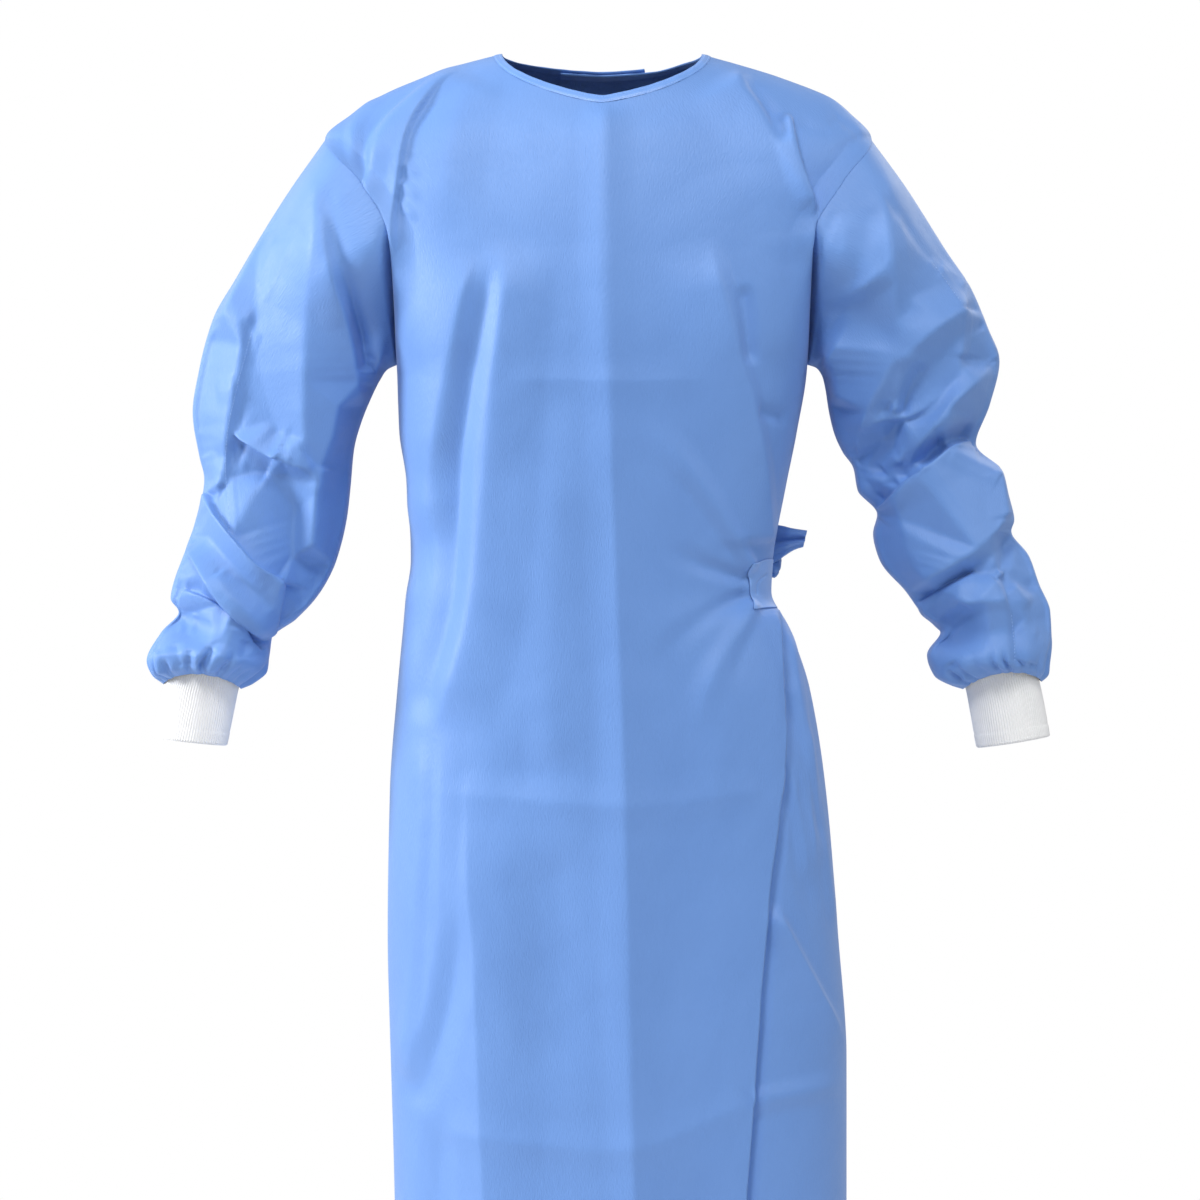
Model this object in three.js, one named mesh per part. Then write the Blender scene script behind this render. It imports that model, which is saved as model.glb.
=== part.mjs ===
import * as THREE from "three";

// Surgical gown in its worn form, in millimetres.
// +Z is up, -Y is the front and +X is the wearer's left.
// The origin lies between the shoulders, level with the sides of the neck.

// Driving sizes
const hemHeight = -1270;
const shoulderTip = -79;
const underarm = -288;
const armholeHalfDepth = 62;
const neckHalfWidth = 93;
const neckDipFront = 47;
const neckDipBack = 10;
const neckBend = 1.2;
const wall = 1.6;
const seamSetback = 0.2;
const sleeveSetback = 3 * seamSetback;
const bindingWidth = 8;
const bindingProud = 0.8;
const bindingRound = 0.8;
const wrapSink = 4.4;
const wrapSinkSpan = { deep: 12, level: 44 };
const tieTop = -470;
const tieBottom = -514;
const hipHeight = -590;
const strapWall = 1.2;
const layGap = 0.8;
const foldFade = 30;
const foldLead = 8;
const sideFade = 0.5;
const sleeveColumns = 32;
const sleeveRingStep = 24;
const sleeveFoldSpan = { none: 0.1, full: 0.55 };
const armholeClear = 40;
const gatherHeight = 1.6;
const gatherLength = 34;
const gatherFull = 8;
const gatherPast = 6;
const cuffWall = 1.5;
const cuffRibs = 88;
const ribHeight = 0.4;
const cuffInsideColumns = 44;

const clothBlue = 0x7aa6ea;
const bindingBlue = 0x86b0f0;
const strapBlue = 0x93b8f2;
const knitWhite = 0xf1f2f4;

const front = -1;
const back = 1;

// Body sections by height: side edges, depth of the front and back, roundness of the corners
const bodySections = [
  { z: 0, right: -93, left: 93, front: -28, back: 30, bend: 2.0 },
  { z: -10, right: -131, left: 128, front: -50, back: 58, bend: 2.0 },
  { z: -22, right: -167, left: 166, front: -66, back: 74, bend: 2.0 },
  { z: -38, right: -204, left: 206, front: -79, back: 86, bend: 2.05 },
  { z: -56, right: -233, left: 231, front: -90, back: 97, bend: 2.1 },
  { z: -79, right: -257, left: 250, front: -101, back: 106, bend: 2.2 },
  { z: -125, right: -221, left: 220, front: -116, back: 115, bend: 2.4 },
  { z: -177, right: -194, left: 192, front: -128, back: 120, bend: 2.7 },
  { z: -230, right: -191, left: 191, front: -135, back: 123, bend: 2.8 },
  { z: -290, right: -190, left: 190, front: -139, back: 125, bend: 2.8 },
  { z: -350, right: -188, left: 181, front: -139, back: 124, bend: 2.6 },
  { z: -400, right: -180, left: 171, front: -137, back: 122, bend: 2.5 },
  { z: -470, right: -177.5, left: 158.5, front: -134, back: 119, bend: 2.5 },
  { z: -500, right: -181, left: 156.5, front: -134, back: 119, bend: 2.5 },
  { z: -530, right: -184, left: 172, front: -135, back: 120, bend: 2.5 },
  { z: -590, right: -190, left: 193, front: -138, back: 123, bend: 2.5 },
  { z: -685, right: -197, left: 208, front: -141, back: 128, bend: 2.4 },
  { z: -815, right: -199, left: 219, front: -144, back: 133, bend: 2.4 },
  { z: -935, right: -196, left: 227, front: -146, back: 137, bend: 2.4 },
  { z: -1065, right: -192.5, left: 227, front: -148, back: 140, bend: 2.4 },
  { z: -1270, right: -190, left: 229, front: -151, back: 144, bend: 2.4 },
];

// Rows of cloth between two heights of the side edge
const rowSpans = [
  { from: 0, to: shoulderTip, rows: 5 },
  { from: shoulderTip, to: underarm, rows: 8 },
  { from: underarm, to: tieTop, rows: 6 },
  { from: tieTop, to: tieBottom, rows: 2 },
  { from: tieBottom, to: hipHeight, rows: 3 },
  { from: hipHeight, to: hemHeight, rows: 9 },
];

// Lines the columns of the front follow, as shares of the half width
const frontGuides = [
  { z: -40, crease: -0.62, centre: 0, pleat: 0.8 },
  { z: -290, crease: -0.6, centre: 0.034, pleat: 0.82 },
  { z: -500, crease: -0.63, centre: 0.142, pleat: 0.86 },
  { z: -600, crease: -0.64, centre: 0.105, pleat: 0.84 },
  { z: -777, crease: -0.645, centre: 0.075, pleat: 0.67 },
  { z: -961, crease: -0.61, centre: 0.064, pleat: 0.564 },
  { z: -1065, crease: -0.6, centre: 0.062, pleat: 0.53 },
  { z: -1270, crease: -0.59, centre: 0.06, pleat: 0.47 },
];
const frontColumns = { side: 7, crease: 6, centre: 7, pleat: 7 };

// Free edges of the two backs, as distances from the middle
const wrapEdges = [
  { z: 0, outer: 38, inner: -38 },
  { z: -150, outer: 70, inner: -55 },
  { z: -290, outer: 92, inner: -66 },
  { z: -480, outer: 104, inner: -76 },
  { z: -800, outer: 122, inner: -86 },
  { z: -1270, outer: 130, inner: -92 },
];
const backColumns = 13;
const innerColumns = 12;

// Folds as seen from the front: path, height, and fall-off on the two sides of the path
const frontFolds = [
  {
    height: 11,
    low: 9,
    high: 30,
    path: [[-138, -20], [-157, -41], [-180, -72], [-186, -91], [-189, -124], [-189, -170]],
  },
  {
    height: -11,
    low: 13,
    high: 13,
    path: [[-170, -38], [-200, -78], [-206, -104], [-204, -136]],
  },
  {
    height: 8,
    low: 28,
    high: 11,
    path: [[120, -11], [134, -35], [155, -71], [170, -97], [182, -126], [186, -165]],
  },
  {
    height: -9,
    low: 13,
    high: 13,
    path: [[176, -45], [192, -80], [199, -129]],
  },
  {
    height: 5,
    low: 16,
    high: 16,
    path: [[132, -474], [100, -425], [40, -352]],
  },
  {
    height: -4,
    low: 16,
    high: 16,
    path: [[128, -488], [66, -470], [6, -452]],
  },
  {
    height: 4,
    low: 18,
    high: 18,
    path: [[132, -512], [92, -566], [64, -650]],
  },
  {
    height: 9,
    low: 7,
    high: 46,
    path: [[150, -500], [163, -553], [162, -600], [148, -777], [135, -961], [128, -1065], [119, -1275]],
  },
  {
    height: 5,
    low: 26,
    high: 34,
    path: [[-99, -228], [-117, -376], [-126, -524], [-124, -690], [-113, -896], [-106, -1065], [-102, -1275]],
  },
  {
    height: -6,
    low: 20,
    high: 20,
    path: [[-142, -237], [-164, -376], [-158, -560]],
  },
  {
    height: 5,
    low: 38,
    high: 38,
    path: [[2, -60], [6, -230], [10, -390], [15, -500], [20, -640], [24, -800], [31, -1065], [33, -1275]],
  },
];
const backFolds = [
  {
    height: 6,
    low: 24,
    high: 24,
    path: [[-132, -250], [-142, -520], [-138, -900], [-150, -1275]],
  },
  {
    height: -5,
    low: 26,
    high: 26,
    path: [[-70, -330], [-58, -620], [-66, -1275]],
  },
  {
    height: 6,
    low: 30,
    high: 30,
    path: [[10, -420], [24, -760], [30, -1275]],
  },
];

// Sleeve sections: outer and inner points of the outline, half depth and middle of the depth
const rightSleeve = [
  { outerX: -296, outerZ: -135, innerX: -200, innerZ: -293, depth: 72, y: 0 },
  { outerX: -341, outerZ: -209, innerX: -207, innerZ: -303, depth: 78, y: 2 },
  { outerX: -362, outerZ: -246, innerX: -215, innerZ: -319, depth: 78, y: 4 },
  { outerX: -375, outerZ: -293, innerX: -224, innerZ: -341, depth: 74, y: 6 },
  { outerX: -381, outerZ: -332, innerX: -231, innerZ: -367, depth: 70, y: 6 },
  { outerX: -375, outerZ: -372, innerX: -234, innerZ: -400, depth: 64, y: 5 },
  { outerX: -370, outerZ: -395, innerX: -237, innerZ: -428, depth: 62, y: 3 },
  { outerX: -379, outerZ: -437, innerX: -247, innerZ: -470, depth: 64, y: 0 },
  { outerX: -386, outerZ: -458, innerX: -262, innerZ: -500, depth: 62, y: -5 },
  { outerX: -400, outerZ: -505, innerX: -284, innerZ: -525, depth: 60, y: -12 },
  { outerX: -392, outerZ: -518, innerX: -306, innerZ: -542, depth: 55, y: -16 },
  { outerX: -408, outerZ: -537, innerX: -308, innerZ: -558, depth: 56, y: -19 },
  { outerX: -420, outerZ: -563, innerX: -312, innerZ: -572, depth: 55, y: -22 },
  { outerX: -414, outerZ: -577.5, innerX: -327, innerZ: -583, depth: 46, y: -24 },
  { outerX: -405.6, outerZ: -585.1, innerX: -334.3, innerZ: -588.9, depth: 33.5, y: -24 },
];
const leftSleeve = [
  { outerX: 282, outerZ: -123, innerX: 199, innerZ: -291, depth: 72, y: 0 },
  { outerX: 319, outerZ: -181, innerX: 205, innerZ: -299, depth: 78, y: 2 },
  { outerX: 344, outerZ: -219, innerX: 208, innerZ: -311, depth: 79, y: 3 },
  { outerX: 359, outerZ: -254, innerX: 211, innerZ: -330, depth: 78, y: 5 },
  { outerX: 370, outerZ: -285, innerX: 216, innerZ: -351, depth: 74, y: 6 },
  { outerX: 361, outerZ: -325, innerX: 224, innerZ: -369, depth: 68, y: 6 },
  { outerX: 348, outerZ: -361, innerX: 234, innerZ: -384, depth: 60, y: 5 },
  { outerX: 373, outerZ: -388, innerX: 238, innerZ: -405, depth: 66, y: 3 },
  { outerX: 378, outerZ: -409, innerX: 256, innerZ: -427, depth: 65, y: 1 },
  { outerX: 383, outerZ: -432, innerX: 252, innerZ: -446, depth: 66, y: -2 },
  { outerX: 380, outerZ: -443, innerX: 258, innerZ: -470, depth: 60, y: -5 },
  { outerX: 396, outerZ: -466, innerX: 282, innerZ: -499, depth: 62, y: -8 },
  { outerX: 405, outerZ: -492, innerX: 297, innerZ: -520, depth: 58, y: -13 },
  { outerX: 415, outerZ: -518, innerX: 314, innerZ: -536, depth: 56, y: -17 },
  { outerX: 416, outerZ: -544, innerX: 301, innerZ: -558, depth: 58, y: -20 },
  { outerX: 411, outerZ: -568, innerX: 308, innerZ: -577, depth: 53, y: -23 },
  { outerX: 409, outerZ: -577, innerX: 324, innerZ: -586, depth: 45, y: -24 },
  { outerX: 406.1, outerZ: -582.3, innerX: 333.9, innerZ: -589.5, depth: 33.6, y: -24 },
];

// Sleeve folds as seen from the front, then those of the hidden side
const rightSleeveFolds = [
  {
    height: -7,
    low: 15,
    high: 15,
    path: [[-258, -132], [-254, -193], [-240, -256], [-228, -279]],
  },
  {
    height: -6,
    low: 12,
    high: 12,
    path: [[-337, -372], [-292, -374], [-253, -363]],
  },
  {
    height: 7,
    low: 9,
    high: 18,
    path: [[-371, -410], [-343, -449], [-319, -477], [-294, -491]],
  },
  {
    height: -7,
    low: 10,
    high: 10,
    path: [[-386, -458], [-357, -499], [-329, -527], [-309, -539]],
  },
  {
    height: -5,
    low: 9,
    high: 9,
    path: [[-393, -499], [-360, -517], [-333, -536], [-319, -556]],
  },
];
const rightSleeveBackFolds = [
  {
    height: -6,
    low: 14,
    high: 14,
    path: [[-366, -380], [-320, -410], [-262, -440]],
  },
  {
    height: -6,
    low: 12,
    high: 12,
    path: [[-380, -450], [-330, -480], [-280, -510]],
  },
];
const leftSleeveFolds = [
  {
    height: -5,
    low: 16,
    high: 16,
    path: [[258, -126], [270, -199], [272, -274]],
  },
  {
    height: -9,
    low: 11,
    high: 11,
    path: [[347, -361], [325, -367], [300, -390], [258, -426]],
  },
  {
    height: -5,
    low: 11,
    high: 11,
    path: [[275, -338], [312, -342], [345, -352]],
  },
  {
    height: -6,
    low: 11,
    high: 11,
    path: [[379, -433], [319, -484], [288, -507]],
  },
  {
    height: -6,
    low: 10,
    high: 10,
    path: [[403, -491], [356, -511], [314, -535]],
  },
];
const leftSleeveBackFolds = [
  {
    height: -7,
    low: 13,
    high: 13,
    path: [[345, -362], [300, -384], [248, -400]],
  },
  {
    height: -6,
    low: 12,
    high: 12,
    path: [[382, -440], [330, -470], [270, -490]],
  },
];

// Cuff sections, top to bottom
const rightCuff = [
  { outerX: -401, outerZ: -577, innerX: -334.6, innerZ: -580.5, depth: 31, y: -24 },
  { outerX: -404.6, outerZ: -590, innerX: -338.4, innerZ: -594, depth: 31, y: -24 },
  { outerX: -414.2, outerZ: -633, innerX: -347.4, innerZ: -640.5, depth: 31.6, y: -26 },
];
const leftCuff = [
  { outerX: 401.5, outerZ: -573, innerX: 334.5, innerZ: -580, depth: 31, y: -24 },
  { outerX: 404.8, outerZ: -588, innerX: 338.8, innerZ: -595, depth: 31, y: -24 },
  { outerX: 413.2, outerZ: -632, innerX: 347, innerZ: -642.5, depth: 31.6, y: -26 },
];

// Belt: where the tab begins on the front, columns of the ties, the knot and its tail
const tabStart = 136;
const tieFrontColumnsBack = 2;
const tieBackOverlap = 3;
const tieBackShare = 0.98;
const flapClear = 4;
const knotHalf = { out: 7.5, along: 11, up: 15 };
const knotGap = 0.4;
const knotSegments = { around: 14, down: 9 };
const tailSections = [
  { x: 163, y: 37.6, z: -456, half: 16, lean: 0.04 },
  { x: 172, y: 31, z: -453, half: 12, lean: 0.3 },
  { x: 181, y: 26, z: -450, half: 9, lean: 0.6 },
  { x: 189, y: 26, z: -449, half: 7, lean: 0.7 },
];
const tailShares = [1, 0.33, -0.33, -1];
const tailRipple = 2;
const tailSwing = 0.4;

// Small steps for finding directions and crossings
const turnStep = 0.02;
const dropStep = 2;
const halvings = 40;

const smooth = (low, high, x) => {
  const t = Math.min(1, Math.max(0, (x - low) / (high - low)));
  return t * t * (3 - 2 * t);
};

// Smooth curve through the points that never swings past them
function curveThrough(xs, ys) {
  const last = xs.length - 1;
  const slopes = [];
  for (let i = 0; i < last; i += 1) {
    slopes.push((ys[i + 1] - ys[i]) / (xs[i + 1] - xs[i]));
  }
  const tangents = [slopes[0]];
  for (let i = 1; i < last; i += 1) {
    const product = slopes[i - 1] * slopes[i];
    tangents.push(product > 0 ? (2 * product) / (slopes[i - 1] + slopes[i]) : 0);
  }
  tangents.push(slopes[last - 1]);
  return (x) => {
    let i = 0;
    while (i < last - 1 && x > xs[i + 1]) {
      i += 1;
    }
    const span = xs[i + 1] - xs[i];
    const t = Math.min(1, Math.max(0, (x - xs[i]) / span));
    const a = 1 - t;
    const start = a * a * (1 + 2 * t) * ys[i] + a * a * t * span * tangents[i];
    return start + t * t * (3 - 2 * t) * ys[i + 1] - t * t * a * span * tangents[i + 1];
  };
}

// One curve for each named column of a table listed downwards by height
function tableCurves(table, names) {
  const heights = table.map((row) => -row.z);
  const curves = {};
  for (const name of names) {
    const curve = curveThrough(heights, table.map((row) => row[name]));
    curves[name] = (z) => curve(-z);
  }
  return curves;
}

const body = tableCurves(bodySections, ["right", "left", "front", "back", "bend"]);
const guides = tableCurves(frontGuides, ["crease", "centre", "pleat"]);
const wrap = tableCurves(wrapEdges, ["outer", "inner"]);

// How far the armhole edge stands from the shoulder line at a height
function armholeDepth(z) {
  const level = (z - (shoulderTip + underarm) / 2) / ((shoulderTip - underarm) / 2);
  return Math.abs(level) < 1 ? armholeHalfDepth * Math.sqrt(1 - level * level) : 0;
}

// Angle across a body section at a share of its half width
function angleAt(share, z) {
  const within = Math.min(1, Math.abs(share));
  return Math.sign(share) * Math.asin(within ** (body.bend(z) / 2));
}

function shareAtX(x, z) {
  const middle = (body.left(z) + body.right(z)) / 2;
  return (x - middle) / ((body.left(z) - body.right(z)) / 2);
}

// Plain body section without folds
function sectionPoint(face, angle, z) {
  const power = 2 / body.bend(z);
  const across = Math.sign(angle) * Math.abs(Math.sin(angle)) ** power;
  const forward = Math.max(0, Math.cos(angle)) ** power;
  const edge = face * armholeDepth(z);
  const deep = face === front ? body.front(z) : body.back(z);
  const middle = (body.left(z) + body.right(z)) / 2;
  const half = (body.left(z) - body.right(z)) / 2;
  return new THREE.Vector3(middle + half * across, edge + (deep - edge) * forward, z);
}

// Height of the folds at a point seen from the front
function foldHeight(folds, x, z) {
  let sum = 0;
  for (const fold of folds) {
    let best = Infinity;
    let side = 0;
    let along = 0;
    let total = 0;
    for (let i = 0; i + 1 < fold.path.length; i += 1) {
      const [ax, az] = fold.path[i];
      const [bx, bz] = fold.path[i + 1];
      const length = Math.hypot(bx - ax, bz - az);
      const dx = (bx - ax) / length;
      const dz = (bz - az) / length;
      const run = Math.min(length, Math.max(0, (x - ax) * dx + (z - az) * dz));
      const far = Math.hypot(x - ax - run * dx, z - az - run * dz);
      if (far < best) {
        best = far;
        side = (x - ax) * dz - (z - az) * dx;
        along = total + run;
      }
      total += length;
    }
    const reach = side < 0 ? fold.low : fold.high;
    const start = smooth(0, foldFade, along + foldLead);
    const end = smooth(0, foldFade, total - along + foldLead);
    const fade = Math.min(start, end);
    sum += fold.height * fade * Math.exp(-((best / reach) ** 2));
  }
  return sum;
}

// Panel point with its folds, moved out square to the plain section
function panelPoint(face, angle, z, lift) {
  const point = sectionPoint(face, angle, z);
  const folds = face === front ? frontFolds : backFolds;
  const across = sectionPoint(face, Math.min(angle + turnStep, Math.PI / 2), z);
  across.sub(sectionPoint(face, Math.max(angle - turnStep, -Math.PI / 2), z));
  const along = sectionPoint(face, angle, z - dropStep).sub(sectionPoint(face, angle, z + dropStep));
  const outward = across.cross(along).normalize().multiplyScalar(face);
  const height = foldHeight(folds, point.x, z) * smooth(0, sideFade, Math.cos(angle));
  return point.addScaledVector(outward, height + lift(point.x, z));
}

// Height at which a column meets the neck line
function neckHeight(face, angleOf) {
  const dip = face === front ? neckDipFront : neckDipBack;
  let low = -dip;
  let high = 0;
  for (let i = 0; i < halvings; i += 1) {
    const z = (low + high) / 2;
    const share = Math.min(1, Math.abs(sectionPoint(face, angleOf(z), z).x) / neckHalfWidth);
    if (z > -dip * Math.sqrt(1 - share ** neckBend)) {
      high = z;
    } else {
      low = z;
    }
  }
  return (low + high) / 2;
}

const rowHeights = [0];
for (const span of rowSpans) {
  for (let i = 1; i <= span.rows; i += 1) {
    const share = i / span.rows;
    const rounded = span.from === shoulderTip ? (1 - Math.cos(Math.PI * share)) / 2 : share;
    rowHeights.push(span.from + (span.to - span.from) * rounded);
  }
}

// Unit normals of a grid of points, outward for the given turn
function gridNormals(grid, closed, turn) {
  const rows = grid.length;
  const columns = grid[0].length;
  return grid.map((row, i) => row.map((point, j) => {
    const up = grid[Math.max(0, i - 1)][j];
    const down = grid[Math.min(rows - 1, i + 1)][j];
    const before = closed ? row[(j + columns - 1) % columns] : row[Math.max(0, j - 1)];
    const after = closed ? row[(j + 1) % columns] : row[Math.min(columns - 1, j + 1)];
    const across = after.clone().sub(before);
    const along = down.clone().sub(up);
    return across.cross(along).normalize().multiplyScalar(turn);
  }));
}

// Closed wall between an outside grid and an inside grid
function wallGeometry(outside, inside, closed, turn) {
  const rows = outside.length;
  const columns = outside[0].length;
  const positions = [];
  for (const grid of [outside, inside]) {
    for (const row of grid) {
      for (const point of row) {
        positions.push(point.x, point.y, point.z);
      }
    }
  }
  const indices = [];
  const at = (side, i, j) => (side * rows + i) * columns + (j % columns);
  const quad = (a, b, c, d) => {
    const order = turn > 0 ? [a, b, c, a, c, d] : [a, c, b, a, d, c];
    indices.push(...order);
  };
  const spans = closed ? columns : columns - 1;
  for (let j = 0; j < spans; j += 1) {
    for (let i = 0; i + 1 < rows; i += 1) {
      quad(at(0, i, j), at(0, i, j + 1), at(0, i + 1, j + 1), at(0, i + 1, j));
      quad(at(1, i, j), at(1, i + 1, j), at(1, i + 1, j + 1), at(1, i, j + 1));
    }
    quad(at(1, 0, j), at(1, 0, j + 1), at(0, 0, j + 1), at(0, 0, j));
    quad(at(0, rows - 1, j), at(0, rows - 1, j + 1), at(1, rows - 1, j + 1), at(1, rows - 1, j));
  }
  if (!closed) {
    for (let i = 0; i + 1 < rows; i += 1) {
      quad(at(0, i, 0), at(0, i + 1, 0), at(1, i + 1, 0), at(1, i, 0));
      const j = columns - 1;
      quad(at(1, i, j), at(1, i + 1, j), at(0, i + 1, j), at(0, i, j));
    }
  }
  const geometry = new THREE.BufferGeometry();
  geometry.setAttribute("position", new THREE.Float32BufferAttribute(positions, 3));
  geometry.setIndex(indices);
  return geometry;
}

const moved = (grid, normals, distance) =>
  grid.map((row, i) => row.map((point, j) => point.clone().addScaledVector(normals[i][j], distance)));

// A panel of the body: its outside grid, normals and neck edge
function makePanel(face, columnAngles, lift, seams) {
  const grid = rowHeights.map(() => []);
  const neck = [];
  for (const angleOf of columnAngles) {
    const top = neckHeight(face, angleOf);
    const points = rowHeights.map((height) => {
      const z = top + height * (1 - top / hemHeight);
      return panelPoint(face, angleOf(z), z, lift);
    });
    const down = points[1].clone().sub(points[0]).normalize();
    neck.push({ point: points[0].clone(), down });
    points[0].addScaledVector(down, bindingWidth + 2 * seamSetback);
    points.forEach((point, i) => grid[i].push(point));
  }
  const normals = gridNormals(grid, false, face);
  const last = columnAngles.length - 1;
  for (const seam of seams) {
    const edge = seam < 0 ? 0 : last;
    const next = seam < 0 ? 1 : last - 1;
    grid.forEach((row, i) => {
      const armhole = rowHeights[i] < shoulderTip && rowHeights[i] > underarm;
      if (!armhole) {
        normals[i][edge].y = 0;
        normals[i][edge].normalize();
      }
      const inward = row[next].clone().sub(row[edge]).normalize();
      row[edge].addScaledVector(inward, seamSetback);
    });
  }
  const geometry = wallGeometry(grid, moved(grid, normals, -wall), false, face);
  return { grid, normals, neck, geometry };
}

// Columns of the front run between its guide lines
const frontAngles = [];
const guideAngle = (name) => (z) => angleAt(guides[name](z), z);
const guideSpans = [
  { count: frontColumns.side, from: () => -Math.PI / 2, to: guideAngle("crease") },
  { count: frontColumns.crease, from: guideAngle("crease"), to: guideAngle("centre") },
  { count: frontColumns.centre, from: guideAngle("centre"), to: guideAngle("pleat") },
  { count: frontColumns.pleat, from: guideAngle("pleat"), to: () => Math.PI / 2 },
];
for (const span of guideSpans) {
  for (let i = 0; i < span.count; i += 1) {
    const share = i / span.count;
    frontAngles.push((z) => span.from(z) + (span.to(z) - span.from(z)) * share);
  }
}
frontAngles.push(() => Math.PI / 2);

// Columns of the backs run from a side seam to a free edge
const outerAngles = [];
for (let i = 0; i <= backColumns; i += 1) {
  const edge = (z) => angleAt(shareAtX(wrap.outer(z), z), z);
  outerAngles.push((z) => -Math.PI / 2 + (edge(z) + Math.PI / 2) * (i / backColumns));
}
const innerAngles = [];
for (let i = 0; i <= innerColumns; i += 1) {
  const edge = (z) => angleAt(shareAtX(wrap.inner(z), z), z);
  innerAngles.push((z) => edge(z) + (Math.PI / 2 - edge(z)) * (i / innerColumns));
}
const level = () => 0;
const sunk = (x, z) => -wrapSink * (1 - smooth(wrapSinkSpan.deep, wrapSinkSpan.level, x - wrap.outer(z)));

const frontPanel = makePanel(front, frontAngles, level, [-1, 1]);
const outerBack = makePanel(back, outerAngles, level, [-1]);
const innerBack = makePanel(back, innerAngles, sunk, [1]);

// Neck binding: a closed band along the neck edges of the three panels
function bindingGeometry() {
  const stops = [];
  const add = (panel, columns) => {
    for (const j of columns) {
      stops.push({ ...panel.neck[j], normal: panel.normals[0][j] });
    }
  };
  const range = (from, to) => {
    const step = Math.sign(to - from);
    return Array.from({ length: Math.abs(to - from) + 1 }, (_, i) => from + step * i);
  };
  add(innerBack, range(0, innerColumns - 1));
  add(frontPanel, range(frontAngles.length - 1, 0));
  add(outerBack, range(1, backColumns));
  const corners = [
    { drop: bindingRound, out: bindingProud },
    { drop: bindingWidth, out: bindingProud },
    { drop: bindingWidth, out: -wall - bindingProud },
    { drop: bindingRound, out: -wall - bindingProud },
    { drop: 0, out: -wall / 2 },
  ];
  const positions = [];
  for (const stop of stops) {
    for (const corner of corners) {
      const point = stop.point.clone().addScaledVector(stop.down, corner.drop);
      point.addScaledVector(stop.normal, corner.out);
      positions.push(point.x, point.y, point.z);
    }
  }
  const indices = [];
  const count = corners.length;
  for (let i = 0; i + 1 < stops.length; i += 1) {
    for (let k = 0; k < count; k += 1) {
      const next = (k + 1) % count;
      const a = i * count + k;
      const b = i * count + next;
      const c = (i + 1) * count + next;
      const d = (i + 1) * count + k;
      indices.push(a, c, b, a, d, c);
    }
  }
  const end = (stops.length - 1) * count;
  for (let k = 1; k + 1 < count; k += 1) {
    indices.push(0, k, k + 1);
    indices.push(end, end + k + 1, end + k);
  }
  const geometry = new THREE.BufferGeometry();
  geometry.setAttribute("position", new THREE.Float32BufferAttribute(positions, 3));
  geometry.setIndex(indices);
  return geometry;
}

// Point of an oval section at an angle that starts at its outer side and turns to the front
function ovalPoint(section, angle) {
  const middleX = (section.outerX + section.innerX) / 2;
  const middleZ = (section.outerZ + section.innerZ) / 2;
  const x = middleX + (Math.cos(angle) * (section.outerX - section.innerX)) / 2;
  const z = middleZ + (Math.cos(angle) * (section.outerZ - section.innerZ)) / 2;
  return new THREE.Vector3(x, section.y - section.depth * Math.sin(angle), z);
}

function armholePoint(side, angle) {
  const z = (shoulderTip + underarm) / 2 + (Math.cos(angle) * (shoulderTip - underarm)) / 2;
  const x = side < 0 ? body.right(z) : body.left(z);
  return new THREE.Vector3(x, -armholeHalfDepth * Math.sin(angle), z);
}

// Distances of the sections along a limb, with the armhole first
function sectionStops(sections, start) {
  const stops = [0];
  let before = start;
  for (const section of sections) {
    const x = (section.outerX + section.innerX) / 2;
    const z = (section.outerZ + section.innerZ) / 2;
    stops.push(stops[stops.length - 1] + Math.hypot(x - before.x, z - before.z));
    before = { x, z };
  }
  return stops;
}

function makeSleeve(side, sections, folds, hiddenFolds) {
  const tip = armholePoint(side, 0);
  const pit = armholePoint(side, Math.PI);
  const stops = sectionStops(sections, { x: (tip.x + pit.x) / 2, z: (tip.z + pit.z) / 2 });
  const total = stops[stops.length - 1];
  const ringStops = [0];
  for (let i = 1; i < stops.length; i += 1) {
    const parts = Math.max(1, Math.round((stops[i] - stops[i - 1]) / sleeveRingStep));
    for (let k = 1; k <= parts; k += 1) {
      ringStops.push(stops[i - 1] + ((stops[i] - stops[i - 1]) * k) / parts);
    }
  }
  const grid = ringStops.map(() => []);
  for (let j = 0; j < sleeveColumns; j += 1) {
    const angle = (2 * Math.PI * j) / sleeveColumns;
    const points = [armholePoint(side, angle), ...sections.map((section) => ovalPoint(section, angle))];
    const curves = ["x", "y", "z"].map((axis) => curveThrough(stops, points.map((point) => point[axis])));
    ringStops.forEach((stop, i) => {
      const point = new THREE.Vector3(...curves.map((curve) => curve(stop)));
      const facing = Math.sin(angle) > 0 ? folds : hiddenFolds;
      const turned = smooth(sleeveFoldSpan.none, sleeveFoldSpan.full, Math.abs(Math.sin(angle)));
      const weight = turned * smooth(0, armholeClear, stop);
      const grow = smooth(total - gatherLength, total - gatherFull, stop);
      const gather = grow * smooth(total + gatherPast, total - gatherFull, stop);
      const wave = (j % 2 === 0 ? 1 : -1) * gatherHeight * gather;
      const height = foldHeight(facing, point.x, point.z) * weight;
      point.y -= Math.sin(angle) * (height + wave);
      point.x += side * Math.cos(angle) * wave;
      grid[i].push(point);
    });
  }
  for (let j = 1; j < sleeveColumns; j += 2) {
    grid[0][j].copy(grid[0][j - 1]).lerp(grid[0][(j + 1) % sleeveColumns], 0.5);
  }
  grid[0].forEach((point, j) => {
    const along = grid[1][j].clone().sub(point).normalize();
    point.addScaledVector(along, sleeveSetback);
  });
  const normals = gridNormals(grid, true, side);
  return wallGeometry(grid, moved(grid, normals, -wall), true, side);
}

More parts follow.
